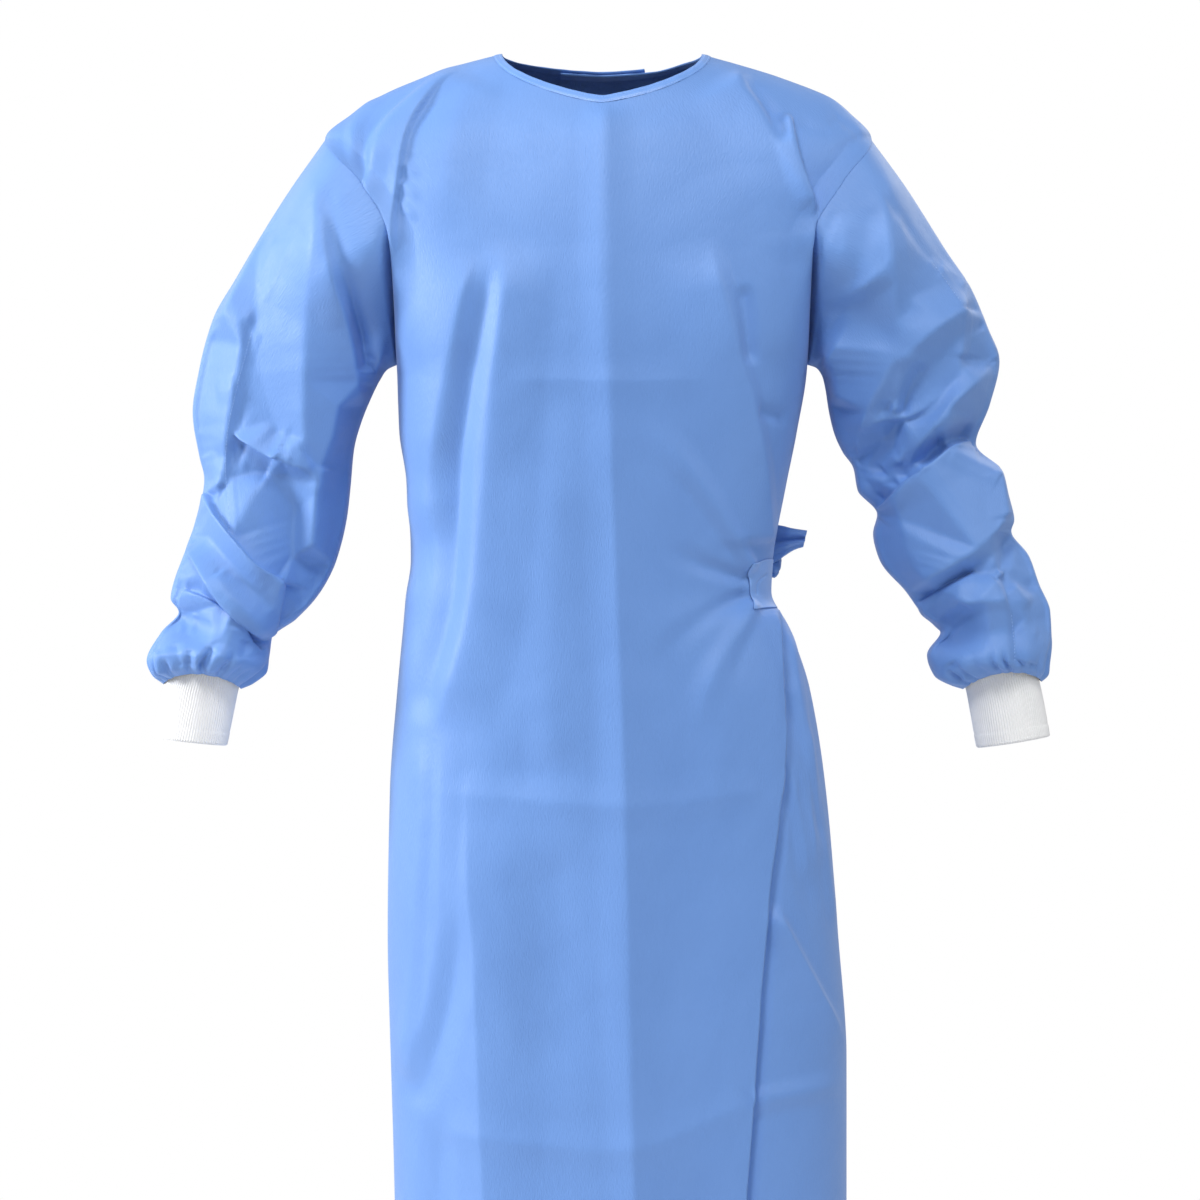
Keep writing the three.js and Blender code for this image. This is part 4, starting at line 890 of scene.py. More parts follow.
# sleeves: outer x and z, inner x and z, half depth and middle of each section
rightSleeve = {
    "side": -1,
    "flat": (0.56, 0.62),
    "cutArea": 0.233,
    "sections": [
        (-296, -135, -200, -293, 72, 0), (-341, -209, -207, -303, 78, 2), (-362, -246, -215, -319, 78, 4),
        (-375, -293, -224, -341, 74, 6), (-381, -332, -231, -367, 70, 6), (-375, -372, -234, -400, 64, 5),
        (-370, -395, -237, -428, 62, 3), (-379, -437, -247, -470, 64, 0), (-386, -458, -262, -500, 62, -5),
        (-400, -505, -284, -525, 60, -12), (-392, -518, -306, -542, 55, -16),
        (-408, -537, -308, -558, 56, -19),
        (-420, -563, -312, -572, 55, -22), (-414, -577.5, -327, -583, 46, -24),
        (-405.6, -585.1, -334.3, -588.9, 33.5, -24),
    ],
    # creases between flat facets: line in the front view, and its depth or its rise over the tube
    "facets": [
        (sleeveLine((318, 195), (316, 230), (312, 262), (309, 290), (307, 320), (306, 350), (305, 380),
                    (304, 410), (305, 440)), (55, 69, 75, 78, 78, 77, 75, 71, 66)),
        (sleeveLine((326, 222), (331, 258), (339, 290), (347, 315), (353, 340), (357, 362), (360, 392)),
         (67, 75, 79, 79, 75, 67, 50)),
        (sleeveLine((340, 408), (333, 440), (322, 465)), (64, 60, 55)),
        (sleeveLine((331, 206), (337, 240), (346, 275), (354, 305), (360, 335), (364, 362)),
         (52, 56, 54, 50, 44, 37)),
        (sleeveLine((364, 196), (376, 220), (386, 250), (390, 290), (389, 325), (382, 355), (372, 382)),
         (59, 66, 70, 70, 64, 48, 25)),
        (sleeveLine((258, 238), (257, 262), (256, 290), (254, 322), (250, 345), (246, 370), (242, 395),
                    (238, 420), (234, 446), (231, 476)), (14, 32, 44, 48, 48, 48, 45, 43, 40, 40)),
        (sleeveLine((214, 317), (232, 318), (248, 319)), (28, 46, 52)),
        (sleeveLine((241, 345), (236, 370), (231, 395), (226, 420), (222, 446), (220, 476)),
         (52, 51, 48, 47, 46, 42)),
        (sleeveLine((262, 375), (268, 402), (277, 430)), (52, 51, 50)),
        (sleeveLine((240, 440), (258, 448), (274, 457)), (52, 56, 60)),
        (sleeveLine((238, 466), (260, 474), (290, 478)), (44, 46, 46)),
        (sleeveLine((284, 464), (300, 467)), (60, 62)),
        (sleeveLine((296, 510), (294, 545), (297, 580)), (44, 43, 41)),
        (sleeveLine((318, 482), (316, 510), (314, 545)), (56, 56, 52)),
    ],
    "facetRises": [
        (sleeveLine((250, 250), (242, 268), (233, 286), (221, 312)), (6, 8, 9, 8)),
        (sleeveLine((208, 506), (220, 524), (237, 545), (257, 567), (280, 581)), (7, 8, 9, 9, 7)),
        (sleeveLine((203, 530), (222, 555), (246, 582), (272, 608)), (-5, -6, -6, -4)),
        (sleeveLine((188, 556), (206, 580), (230, 606), (258, 630)), (6, 7, 7, 4)),
    ],
    "folds": [
        ridge(sleeveLine((336, 204), (348, 196), (362, 186)), 2, 10, 14, tip=1, ends=(6, 8)),
        ridge(sleeveLine((257, 232), (270, 228), (284, 225), (298, 228), (306, 240), (312, 252)),
              -0.8, 6, 6, tip=0.6, ends=(4, 10)),
        ridge(sleeveLine((276, 232), (268, 258), (262, 275)), 0.7, 5, 5, tip=0.6, ends=(8, 8)),
        ridge(sleeveLine((300, 225), (285, 260), (270, 290), (262, 305)), 0.7, 5, 5, tip=0.6, ends=(8, 8)),
        band(sleeveLine((256, 331), (250, 352), (244, 375), (239, 395), (234, 416), (231, 436), (229, 457),
                        (229, 479), (231, 500), (233, 520), (234, 540)), 0.9, 4.2, 1.4),
        ridge(sleeveLine((214, 391), (224, 390), (236, 389)), 2, 16, 14, tip=1, ends=(6, 2)),
        ridge(sleeveLine((212, 458), (222, 456), (230, 455)), -2, 12, 12, tip=1, ends=(6, 2)),
        ridge(sleeveLine((203, 452), (212, 470), (222, 492)), 1.5, 8, 8, tip=1, ends=(4, 10)),
        lap(sleeveLine((231, 431), (243, 436), (254, 443), (265, 450), (277, 457)),
            "left", 5, 7, 40, 34, 3, 2, 6, ends=(12, 2)),
        ridge(sleeveLine((278, 456), (282, 459)), 4, 6, 6, tip=2.5, ends=(0, 0)),
        ridge(sleeveLine((283, 463), (297, 467), (308, 466), (315, 461)), 3.5, 18, 7, ends=(3, 8)),
        ridge(sleeveLine((281, 464), (287, 470), (293, 476)), -2.5, 6, 6, tip=1, ends=(2, 8)),
        ridge(sleeveLine((240, 466), (262, 472), (292, 475)), -1.5, 8, 10, tip=1, ends=(8, 8)),
        ridge(sleeveLine((322, 466), (321, 480), (320, 496)), 2.5, 12, 8, tip=1, ends=(4, 12)),
        ridge(sleeveLine((300, 480), (294, 510), (294, 545), (297, 580), (300, 600)),
              -6, 18, 26, tip=6, ends=(40, 30)),
        lap(sleeveLine((201, 492), (206, 504), (212, 515), (220, 526), (231, 540), (242, 552), (254, 566),
                       (268, 575), (284, 583)),
            "right", 4, 5, 22, 30, 2.5, 2, 5, ends=(3, 2)),
        lap(sleeveLine((284, 583), (280, 600), (275, 620), (270, 637)),
            "right", 3.5, 6, 16, 20, 2, 1.5, 5, ends=(2, 4)),
        lap(sleeveLine((185, 546), (196, 561), (205, 575), (214, 588), (225, 601), (238, 614), (252, 626),
                       (268, 639)),
            "left", 3.5, 6.5, 16, 20, 3, 2, 5, ends=(3, 4)),
        ridge(sleeveLine((217, 573), (228, 587), (240, 602), (254, 617), (266, 634)),
              3, 14, 6, tip=1.2, ends=(4, 8)),
        ridge(sleeveLine((216, 574), (226, 576), (238, 574)), -1.2, 8, 6, tip=1, ends=(2, 8)),
        lap(sleeveLine((178, 591), (188, 594), (200, 599), (212, 606), (226, 615), (240, 626), (247, 634),
                       (253, 645), (259, 654)),
            "right", 4, 5, 26, 14, 2, 2, 5, ends=(4, 6)),
        ridge(sleeveLine((168, 590), (184, 588), (199, 583)), -4, 14, 8, ends=(0, 8)),
        ridge(sleeveLine((212, 609), (214, 628), (215, 646)), 2.5, 7, 12, tip=1, ends=(4, 6)),
        ridge(sleeveLine((234, 628), (228, 645), (221, 661)), 2.5, 10, 8, tip=1, ends=(4, 6)),
        ridge(sleeveLine((246, 640), (244, 660)), -2.5, 6, 6, tip=1, ends=(3, 3)),
        ridge(sleeveLine((174, 643), (178, 656), (183, 669)), -3, 7, 7, tip=1, ends=(4, 2)),
        ridge(sleeveLine((160, 650), (158, 664), (163, 674)), 3, 7, 7, tip=1, ends=(4, 2)),
        ridge(sleeveLine((191, 648), (190, 658), (193, 671)), -3, 6, 6, tip=1, ends=(4, 2)),
        ridge(sleeveLine((215, 647), (208, 658), (203, 669)), -3, 6, 6, tip=1, ends=(4, 2)),
        ridge(sleeveLine((181, 610), (180, 622), (181, 633)), 0.9, 4, 4, tip=0.6, ends=(2, 2)),
        ridge(sleeveLine((195, 613), (193, 624), (191, 635)), 0.9, 4, 4, tip=0.6, ends=(2, 2)),
    ],
}
leftSleeve = {
    "side": 1,
    "flat": (0.56, 0.62),
    "cutArea": 0.233,
    "sections": [
        (282, -123, 199, -291, 72, 0), (319, -181, 205, -299, 78, 2), (344, -219, 208, -311, 79, 3),
        (359, -254, 211, -330, 78, 5), (370, -285, 216, -351, 74, 6), (361, -325, 224, -369, 68, 6),
        (348, -361, 234, -384, 60, 5), (373, -388, 238, -405, 66, 3), (378, -409, 256, -427, 65, 1),
        (383, -432, 252, -446, 66, -2), (380, -443, 258, -470, 60, -5), (396, -466, 282, -499, 62, -8),
        (405, -492, 297, -520, 58, -13), (415, -518, 314, -536, 56, -17), (416, -544, 301, -558, 58, -20),
        (411, -568, 308, -577, 53, -23), (409, -577, 324, -586, 45, -24),
        (406.1, -582.3, 333.9, -589.5, 33.6, -24),
    ],
    # creases between flat facets: line in the front view, and its depth or its rise over the tube
    "facets": [
        (sleeveLine((866, 158), (873, 174), (880, 194), (885, 225), (889, 255), (892, 285), (894, 315),
                    (896, 345)), (37, 47, 62, 77, 85, 88, 88, 87)),
        (sleeveLine((900, 222), (905, 250), (907, 280), (908, 310)), (59, 70, 77, 81)),
        (sleeveLine((893, 204), (905, 228), (920, 248), (935, 266), (950, 286), (962, 304)),
         (50, 50, 50, 49, 50, 54)),
        (sleeveLine((960, 312), (945, 323), (930, 335), (916, 346), (903, 358)), (64, 80, 87, 90, 87)),
        (sleeveLine((864, 222), (856, 245), (853, 266), (852, 282)), (62, 65, 67, 69)),
        (sleeveLine((823, 250), (821, 280), (820, 310), (821, 340), (826, 370), (833, 395)),
         (74, 79, 80, 74, 53, 42)),
        (sleeveLine((908, 392), (918, 380), (930, 368), (943, 354), (957, 338)), (62, 64, 64, 60, 54)),
    ],
    "facetRises": [
        (sleeveLine((893, 358), (886, 372), (878, 388), (869, 406), (861, 422)), (13, 14, 14, 12, 8)),
        (sleeveLine((852, 216), (843, 238), (838, 262), (835, 284), (834, 297)), (6, 7, 7, 6, 5)),
        (sleeveLine((836, 301), (846, 298), (858, 291), (872, 281), (884, 273)), (8, 11, 11, 11, 13)),
        (sleeveLine((830, 313), (845, 310), (864, 302), (886, 293)), (1, -2, 0, 8)),
        (sleeveLine((899, 424), (903, 412), (906, 400)), (-7, -9, -8)),
        (sleeveLine((916, 450), (925, 438), (938, 422), (956, 401), (978, 381)), (4, 9, 13, 14, 8)),
        (sleeveLine((914, 422), (932, 404), (953, 382), (964, 368)), (-5, -7, -7, -4)),
        (sleeveLine((955, 446), (945, 456), (930, 468), (912, 480), (894, 497)), (8, 10, 11, 11, 9)),
        (sleeveLine((940, 444), (924, 458), (904, 470), (884, 486)), (-7, -9, -9, -6)),
        (sleeveLine((1001, 474), (1004, 490), (1007, 512)), (7, 8, 8)),
        (sleeveLine((1004, 522), (990, 536), (975, 549), (958, 561), (940, 572), (924, 579)),
         (10, 12, 13, 13, 12, 9)),
        (sleeveLine((992, 556), (975, 566), (955, 579), (932, 594)), (-5, -8, -8, -5)),
        (sleeveLine((1004, 600), (985, 602), (964, 602)), (7, 8, 6)),
        (sleeveLine((900, 520), (906, 545), (914, 568)), (2, 0, 2)),
    ],
    "folds": [
        ridge(sleeveLine((862, 148), (872, 165), (880, 192), (890, 208), (900, 222), (910, 235), (920, 248),
                         (929, 258), (941, 273), (955, 292), (965, 309)),
              -1.6, 6, 6, tip=1, ends=(14, 40)),
        band(sleeveLine((930, 260), (941, 273), (955, 292), (965, 309), (966, 330), (963, 358)), 0.9, 4, 1.4),
        ridge(sleeveLine((866, 158), (856, 180), (844, 203), (832, 219)), 2.5, 12, 8, ends=(10, 10)),
        lap(sleeveLine((839, 219), (833, 230), (829, 240), (824, 258), (819, 280), (816, 305)),
            "left", 3, 6, 30, 14, 1.5, 1, 5, ends=(3, 20)),
        ridge(sleeveLine((828, 238), (833, 243), (840, 255)), -2, 6, 6, tip=1, ends=(2, 8)),
        ridge(sleeveLine((860, 425), (870, 427), (880, 421), (888, 414)), 3, 10, 5, tip=1, ends=(2, 6)),
        # star of creases at the bend of the sleeve
        ridge(sleeveLine((897, 412), (899, 395), (904, 375), (914, 352)), 3.5, 10, 10, ends=(3, 12),
              flare=(0.4, 1.2)),
        ridge(sleeveLine((900, 416), (904, 398), (912, 378), (924, 362)), -4, 12, 12, ends=(3, 12),
              flare=(0.4, 1.2)),
        ridge(sleeveLine((903, 418), (920, 410), (938, 397), (950, 382)), 2.5, 10, 10, tip=1, ends=(3, 25),
              flare=(0.4, 1.2)),
        ridge(sleeveLine((905, 422), (925, 418), (945, 405), (965, 395)), -2.5, 10, 10, tip=1, ends=(3, 25),
              flare=(0.4, 1.2)),
        ridge(sleeveLine((896, 420), (897, 436), (892, 452), (882, 466), (876, 478)), -6, 8, 9, ends=(3, 8)),
        ridge(sleeveLine((893, 411), (884, 410), (872, 416)), -3, 7, 7, tip=1, ends=(2, 6)),
        ridge(sleeveLine((895, 410), (898, 415)), 4, 6, 6, tip=2, ends=(0, 0)),
        # creases outside the bend
        ridge(sleeveLine((958, 358), (975, 358), (1002, 358)), -4, 24, 14, tip=1, ends=(10, 0)),
        ridge(sleeveLine((964, 308), (963, 332), (962, 358)), 2.5, 22, 14, tip=1, ends=(2, 4)),
        ridge(sleeveLine((980, 327), (990, 342), (1001, 358)), 2.5, 12, 16, tip=1, ends=(4, 2)),
        ridge(sleeveLine((938, 268), (952, 273), (968, 281)), 2, 10, 10, tip=1, ends=(4, 2)),
        ridge(sleeveLine((968, 279), (966, 295), (964, 309)), 2, 8, 10, tip=1, ends=(3, 3)),
        ridge(sleeveLine((964, 309), (976, 308), (988, 308)), -1.5, 8, 8, tip=1, ends=(3, 3)),
        ridge(sleeveLine((936, 438), (955, 442), (976, 443)), -5, 18, 6, ends=(15, 0)),
        lap(sleeveLine((978, 443), (965, 445), (953, 449), (940, 461), (926, 473), (910, 482), (900, 490),
                       (890, 502), (878, 515)),
            "left", 5, 7, 26, 22, 3, 2, 6, ends=(4, 2)),
        ridge(sleeveLine((880, 470), (888, 462), (897, 456)), 3, 7, 6, tip=1, ends=(3, 3)),
        ridge(sleeveLine((896, 462), (903, 474), (908, 483)), -3, 6, 6, tip=1, ends=(3, 3)),
        ridge(sleeveLine((914, 460), (920, 468), (927, 475)), 2.5, 6, 6, tip=1, ends=(3, 2)),
        ridge(sleeveLine((857, 448), (868, 446), (880, 440), (892, 438)), 2, 8, 8, tip=1, ends=(4, 6)),
        ridge(sleeveLine((822, 422), (840, 436), (857, 448)), 1.2, 8, 8, tip=0.8, ends=(4, 4)),
        ridge(sleeveLine((868, 488), (880, 484), (896, 480)), -3, 8, 8, tip=1, ends=(4, 6)),
        # lower sleeve
        ridge(sleeveLine((953, 449), (975, 458), (1002, 471)), 2, 12, 22, tip=1.2, ends=(4, 2)),
        ridge(sleeveLine((1000, 470), (1005, 490), (1010, 518)), 3, 6, 18, tip=1, ends=(4, 4)),
        ridge(sleeveLine((970, 562), (952, 577), (934, 592), (917, 606)), -5, 8, 12, tip=2, ends=(10, 2)),
        lap(sleeveLine((978, 572), (960, 582), (942, 592), (928, 600), (915, 609)),
            "left", 3, 3, 20, 12, 1.5, 1, 5, ends=(10, 2)),
        ridge(sleeveLine((1009, 597), (988, 600), (966, 602), (950, 598)), 3, 10, 20, tip=1.2, ends=(6, 8)),
        ridge(sleeveLine((966, 604), (958, 616), (950, 627), (941, 633)), -5, 9, 9, ends=(4, 0)),
        # pinch beside the lower seam
        ridge(sleeveLine((1000, 573), (1004, 560), (1007, 545), (1008, 530)), -4, 8, 8, tip=1, ends=(3, 14)),
        ridge(sleeveLine((1000, 574), (1006, 588), (1010, 604), (1014, 622), (1016, 650), (1016, 682)),
              -4.5, 8, 8, tip=1, ends=(3, 4)),
        ridge(sleeveLine((1002, 574), (1016, 578), (1030, 584), (1042, 590)), -3, 8, 8, tip=1, ends=(3, 10)),
        ridge(sleeveLine((998, 573), (985, 572), (968, 575), (950, 580)), -3.5, 8, 9, tip=1, ends=(3, 20)),
        ridge(sleeveLine((996, 580), (985, 592), (972, 602)), 3, 8, 10, tip=1, ends=(4, 12)),
        ridge(sleeveLine((1010, 586), (1020, 598), (1034, 606)), 3, 8, 8, tip=1, ends=(4, 10)),
        ridge(sleeveLine((1018, 625), (1028, 632), (1040, 636)), 2, 9, 9, tip=1.5, ends=(4, 8)),
        ridge(sleeveLine((948, 662), (955, 672), (962, 680)), -3, 6, 6, tip=1, ends=(3, 2)),
        ridge(sleeveLine((1034, 661), (1030, 672), (1027, 679)), -3.5, 6, 6, tip=1, ends=(3, 2)),
    ],
}
sleeveForm = {
    "columns": 192,
    "step": 1.7,             # spacing of the rings
    "pleats": 19,            # gathers sewn into the cuff
    "gatherHeight": 3.8,
    "gatherLength": 46,
    "endRise": 12,           # how far the sleeve end arches up over the cuff, and from where
    "endReach": 70,
    "facetStep": 9,          # spacing of the points along a crease between facets
    "facetFade": (50, 20, 60),   # facets grow from the armhole, and fade between two places by the cuff
    "rimStep": 6,            # rings between the points that hold the facets to the tube
    "rimFacing": 0.16,       # where the facets meet the plain sides of the tube
    "strength": 1.1,
    "fine": {"broad": 1.0, "broadSpacing": 70, "sharp": 0.6, "sharpSpacing": 28},
}


def ovalRing(section, angle):
    outerX, outerZ, innerX, innerZ, depth, y = section
    x = (outerX + innerX) / 2 + np.cos(angle) * (outerX - innerX) / 2
    z = (outerZ + innerZ) / 2 + np.cos(angle) * (outerZ - innerZ) / 2
    return np.stack([x, y - depth * np.sin(angle), z], axis=-1)


def armholeRing(side, angle):
    tip, pit = gown["shoulderTip"], gown["underarm"]
    z = (tip + pit) / 2 + np.cos(angle) * (tip - pit) / 2
    x = bodyRight(z) if side < 0 else bodyLeft(z)
    return np.stack([x, -gown["armholeDepth"] * np.sin(angle), z], axis=-1)


def mirroredFolds(folds):
    other = {"left": "right", "right": "left"}
    turned = []
    for fold in folds:
        copy = {**fold, "path": [(-x, z) for x, z in fold["path"]]}
        if fold["kind"] == "ridge":
            copy["left"], copy["right"] = fold["right"], fold["left"]
        if fold["kind"] == "lap":
            copy["top"] = other[fold["top"]]
        turned.append(copy)
    return turned


def nearestPoints(flat, x, z):
    # the six points of a surface nearest to a place in the front view, and the weight of each
    far = (flat[:, 0] - x) ** 2 + (flat[:, 2] - z) ** 2
    close = np.argpartition(far, 6)[:6]
    weight = 1 / (far[close] + 0.4)
    return close, weight / weight.sum()


def sleeveTube(sleeve):
    # plain tube of a sleeve, with the places of its rings and columns
    angle = np.linspace(0, 2 * math.pi, sleeveForm["columns"] + 1)
    rings = np.stack([armholeRing(sleeve["side"], angle)] + [ovalRing(s, angle) for s in sleeve["sections"]])
    middles = (rings[:, 0] + rings[:, sleeveForm["columns"] // 2]) / 2
    stops = arcLength(middles[:, [0, 2]], 0)
    along = np.linspace(0, stops[-1], round(stops[-1] / sleeveForm["step"]) + 1)
    return curveThrough(stops, rings)(along), along, angle


def facetCreases(sleeve):
    # creases between the facets of a sleeve, all with their rise over the plain tube in whole millimetres
    plain, _, angle = sleeveTube(sleeve)
    tube = plain[:, np.sin(angle) > 0].reshape(-1, 3)
    creases = list(sleeve["facetRises"])
    for path, depths in sleeve["facets"]:
        plainDepths = [-np.mean(tube[nearestPoints(tube, x, z)[0], 1]) for x, z in path]
        creases.append((path, np.rint(np.array(depths) - plainDepths)))
    return creases


def mirroredFacets(facets):
    return [([(-x, z) for x, z in path], heights) for path, heights in facets]


def facetMoves(plain, facing, creases, face):
    # how far each point of a sleeve side moves to lie on flat facets between the creases
    side = np.broadcast_to(facing, plain.shape[:2])
    flat = plain[side > 0]
    places, edges = [], []
    for path, heights in creases:
        stops = arcLength(np.array(path, float), 0)
        fine = np.linspace(0, stops[-1], max(2, round(stops[-1] / sleeveForm["facetStep"]) + 1))
        line = [np.interp(fine, stops, values) for values in (*np.array(path, float).T, heights)]
        for k, (x, z, height) in enumerate(zip(*line)):
            close, weight = nearestPoints(flat, x, z)
            if k:
                edges.append((len(places) - 1, len(places)))
            places.append((x, np.sum(flat[close, 1] * weight) + face * height, z))
    for column in np.nonzero(np.diff(np.sign(facing[0] - sleeveForm["rimFacing"])))[0]:
        for row in range(0, len(plain), sleeveForm["rimStep"]):
            places.append(tuple(plain[row, column]))
    for row in (0, len(plain) - 1):
        for column in np.nonzero(facing[0] > 0.2)[0][::5]:
            places.append(tuple(plain[row, column]))
    net = geometry.delaunay_2d_cdt([Vector((x, z)) for x, y, z in places], edges, [], 0, 0.01)
    corners = [Vector((co.x, np.mean([places[k][1] for k in same]) if same else 0, co.y))
               for co, same in zip(net[0], net[3])]
    tree = bvhtree.BVHTree.FromPolygons(corners, net[2])
    moves = np.zeros(plain.shape[:2])
    for i, j in np.argwhere(side > 0.1):
        x, y, z = plain[i, j]
        hit = tree.ray_cast(Vector((x, face * 500, z)), Vector((0, -face, 0)))
        if hit[0] is not None:
            moves[i, j] = hit[0].y - y
    return softenedGrid(moves, 2) * smooth(0.06, 0.5, side)


def makeSleeve(name, node, sleeve, other):
    # the hidden side takes the folds and facets of the other sleeve
    side = sleeve["side"]
    plain, along, angle = sleeveTube(sleeve)
    total = along[-1]
    hiddenFolds = mirroredFolds(other["folds"])
    hiddenFacets = mirroredFacets(facetCreases(other))
    facing = np.sin(angle)[None, :]
    left = total - along[:, None]
    plain[..., 2] += sleeveForm["endRise"] * smooth(sleeveForm["endReach"], 0, left) * np.abs(facing) ** 1.5
    normals = gridNormals(plain, closed=True) * side
    startFade, cuffLow, cuffHigh = sleeveForm["facetFade"]
    near = smooth(0, startFade, along)[:, None] * smooth(cuffLow, cuffHigh, left)
    flatter = np.zeros(plain.shape[:2])
    for face, creases in ((front, facetCreases(sleeve)), (back, hiddenFacets)):
        flatter += facetMoves(plain, -facing * face, creases, face) * near
    plain[..., 1] += flatter
    # gathers: narrow tucks between soft puffs, growing towards the cuff
    wander = 0.22 * np.sin(3 * angle + side) + 0.15 * np.sin(7 * angle + 2)
    phase = sleeveForm["pleats"] * angle / (2 * math.pi) + wander
    puff = 1 - 2 * (0.5 + 0.5 * np.cos(2 * math.pi * phase)) ** 2.5
    tall = 0.6 + 0.4 * np.sin(5 * angle + 1.3 * side)
    reach = sleeveForm["gatherLength"] * (0.7 + 0.3 * np.sin(4 * angle + 0.7))
    grow = smooth(reach[None, :], 7, left) * smooth(-3, 9, left)
    gathers = sleeveForm["gatherHeight"] * puff * tall * grow
    plain = plain + normals * gathers[..., None]
    edge = smooth(0, 26, along)[:, None] * smooth(total, total - 10, along)[:, None]
    frontWeight = smooth(0.02, 0.45, facing) * edge
    hiddenWeight = smooth(0.02, 0.45, -facing) * edge
    folded = foldCloth(plain, normals, sleeve["folds"], frontWeight, sleeveForm["fine"],
                       sleeveForm["strength"])
    hidden = foldCloth(plain, normals, hiddenFolds, hiddenWeight, sleeveForm["fine"], sleeveForm["strength"])
    grid = folded + hidden - plain
    sink = seamDip(plain[:1, :, 2], along[:, None])
    ahead = np.where(facing > 0, seamAdvance(front, plain[:1, :, 2])[0],
                     seamAdvance(back, plain[:1, :, 2])[0])
    ahead = ahead * (1 - smooth(0, gown["levelSleeve"], along[:, None]))
    grid[..., 1] += np.sign(facing) * (sink - ahead)
    grid[..., 0] -= side * sink * 0.15
    grid[:, -1] = grid[:, 0]
    around = np.linspace(0, 0.5, len(angle))
    uv = np.stack(np.broadcast_arrays(around[None, :], -along[:, None] * mm), axis=-1)
    piece = gridPiece(name, grid, uv, lambda p: (0, p.y + 0.01, 0), closed=True)
    finishPiece(piece, node, gownCloth)
    return piece, grid


rightPiece, rightGrid = makeSleeve("gown_sleeve_right", "sleeve_right", rightSleeve, leftSleeve)
leftPiece, leftGrid = makeSleeve("gown_sleeve_left", "sleeve_left", leftSleeve, rightSleeve)
print("sleeves folded", len(rightPiece.data.polygons), len(leftPiece.data.polygons))

# knit cuffs
cuffs = {
    "ribs": 88,
    "perRib": 6,
    "ribHeight": 0.62,
    "wall": 1.3,
    "rows": 52,
    "innerRows": 14,
    "turnRows": 9,           # round the folded end
    "inside": 14,            # length hidden in the sleeve
    "length": 60,
    "endDrop": 1.1,          # roundness of the folded end
    "innerRibs": 0.25,       # share of the rib height on the inner layer
    "ribWander": (0.35, 0.2),
    "swell": 0.7,
    "hemBand": 49,           # where the doubled end begins, its step and the groove above it
    "bandStep": 0.35,
    "bandGroove": 0.3,
    "flat": (0.21, 0.15),
    "right": [(-401, -577, -334.6, -580.5, 31, -24), (-404.6, -590, -338.4, -594, 31, -24),
              (-414.2, -633, -347.4, -640.5, 31.6, -26)],
    "left": [(401.5, -573, 334.5, -580, 31, -24), (404.8, -588, 338.8, -595, 31, -24),
             (413.2, -632, 347, -642.5, 31.6, -26)],
}


def makeCuff(name, node, sections, side):
    columns = cuffs["ribs"] * cuffs["perRib"]
    angle = np.linspace(0, 2 * math.pi, columns + 1)
    rings = np.stack([ovalRing(s, angle) for s in sections])
    inside, length = cuffs["inside"], cuffs["length"]
    rows, innerRows = cuffs["rows"], cuffs["innerRows"]
    turn = np.linspace(0, math.pi, cuffs["turnRows"])[1:-1]
    form = curveThrough([0, inside, length], rings)
    # down the outside, round the end and up the inside
    down = np.concatenate([np.linspace(-inside, length, rows), np.full(len(turn), length),
                           np.linspace(length, -inside, innerRows)])
    plain = form(down) + (rings[0] - rings[1])[None] / inside * np.maximum(0, -down)[:, None, None]
    radial = np.stack([side * np.cos(angle), -np.sin(angle), np.zeros_like(angle)], axis=-1)
    drop = cuffs["endDrop"] * np.concatenate([np.zeros(rows), np.sin(turn), np.zeros(innerRows)])
    inset = cuffs["wall"] * np.concatenate([np.zeros(rows), (1 - np.cos(turn)) / 2, np.ones(innerRows)])
    outer = np.arange(len(down)) < rows
    broad, fine = cuffs["ribWander"]
    wavy = broad * np.sin(down[:, None] / 7 + 5 * angle[None, :])
    wavy = wavy + fine * np.sin(down[:, None] / 3.1 - 3 * angle)
    ribs = cuffs["ribHeight"] * (0.5 + 0.5 * np.cos(cuffs["ribs"] * angle[None, :] + wavy)) ** 0.8
    band = cuffs["hemBand"]
    bandStep = cuffs["bandStep"] * smooth(band, band + 1, down)
    bandGroove = cuffs["bandGroove"] * np.exp(-((down - band) / 0.8) ** 2)
    hemBand = np.where(outer, bandStep - bandGroove, 0)
    swell = cuffs["swell"] * np.sin(2 * angle[None, :] + down[:, None] / 20)
    lift = ribs * np.where(outer, 1, cuffs["innerRibs"])[:, None] + hemBand[:, None] - inset[:, None] + swell
    points = plain + radial[None] * lift[..., None]
    points[..., 2] -= drop[:, None]
    points[:, -1] = points[:, 0]
    around = np.linspace(0, cuffs["flat"][0], columns + 1)
    run = np.concatenate([[0], np.cumsum(np.abs(np.diff(down)))])
    uv = np.stack(np.broadcast_arrays(around[None, :], -run[:, None] * mm), axis=-1)
    piece = gridPiece(name, points, uv, closed=True)
    bm = bmesh.new()
    bm.from_mesh(piece.data)
    centre = (rings[1].min(axis=0) + rings[1].max(axis=0)) / 2 * mm
    ahead = Vector((centre[0], -1, centre[2]))
    turnOutward(bm, min(bm.faces, key=lambda f: (f.calc_center_median() - ahead).length), (0, -1, 0))
    bm.to_mesh(piece.data)
    bm.free()
    finishPiece(piece, node, ribKnit)
    return piece


rightCuff = makeCuff("knit_cuff_right", "cuff_right", cuffs["right"], -1)
leftCuff = makeCuff("knit_cuff_left", "cuff_left", cuffs["left"], 1)
print("cuffs knitted", len(rightCuff.data.polygons))

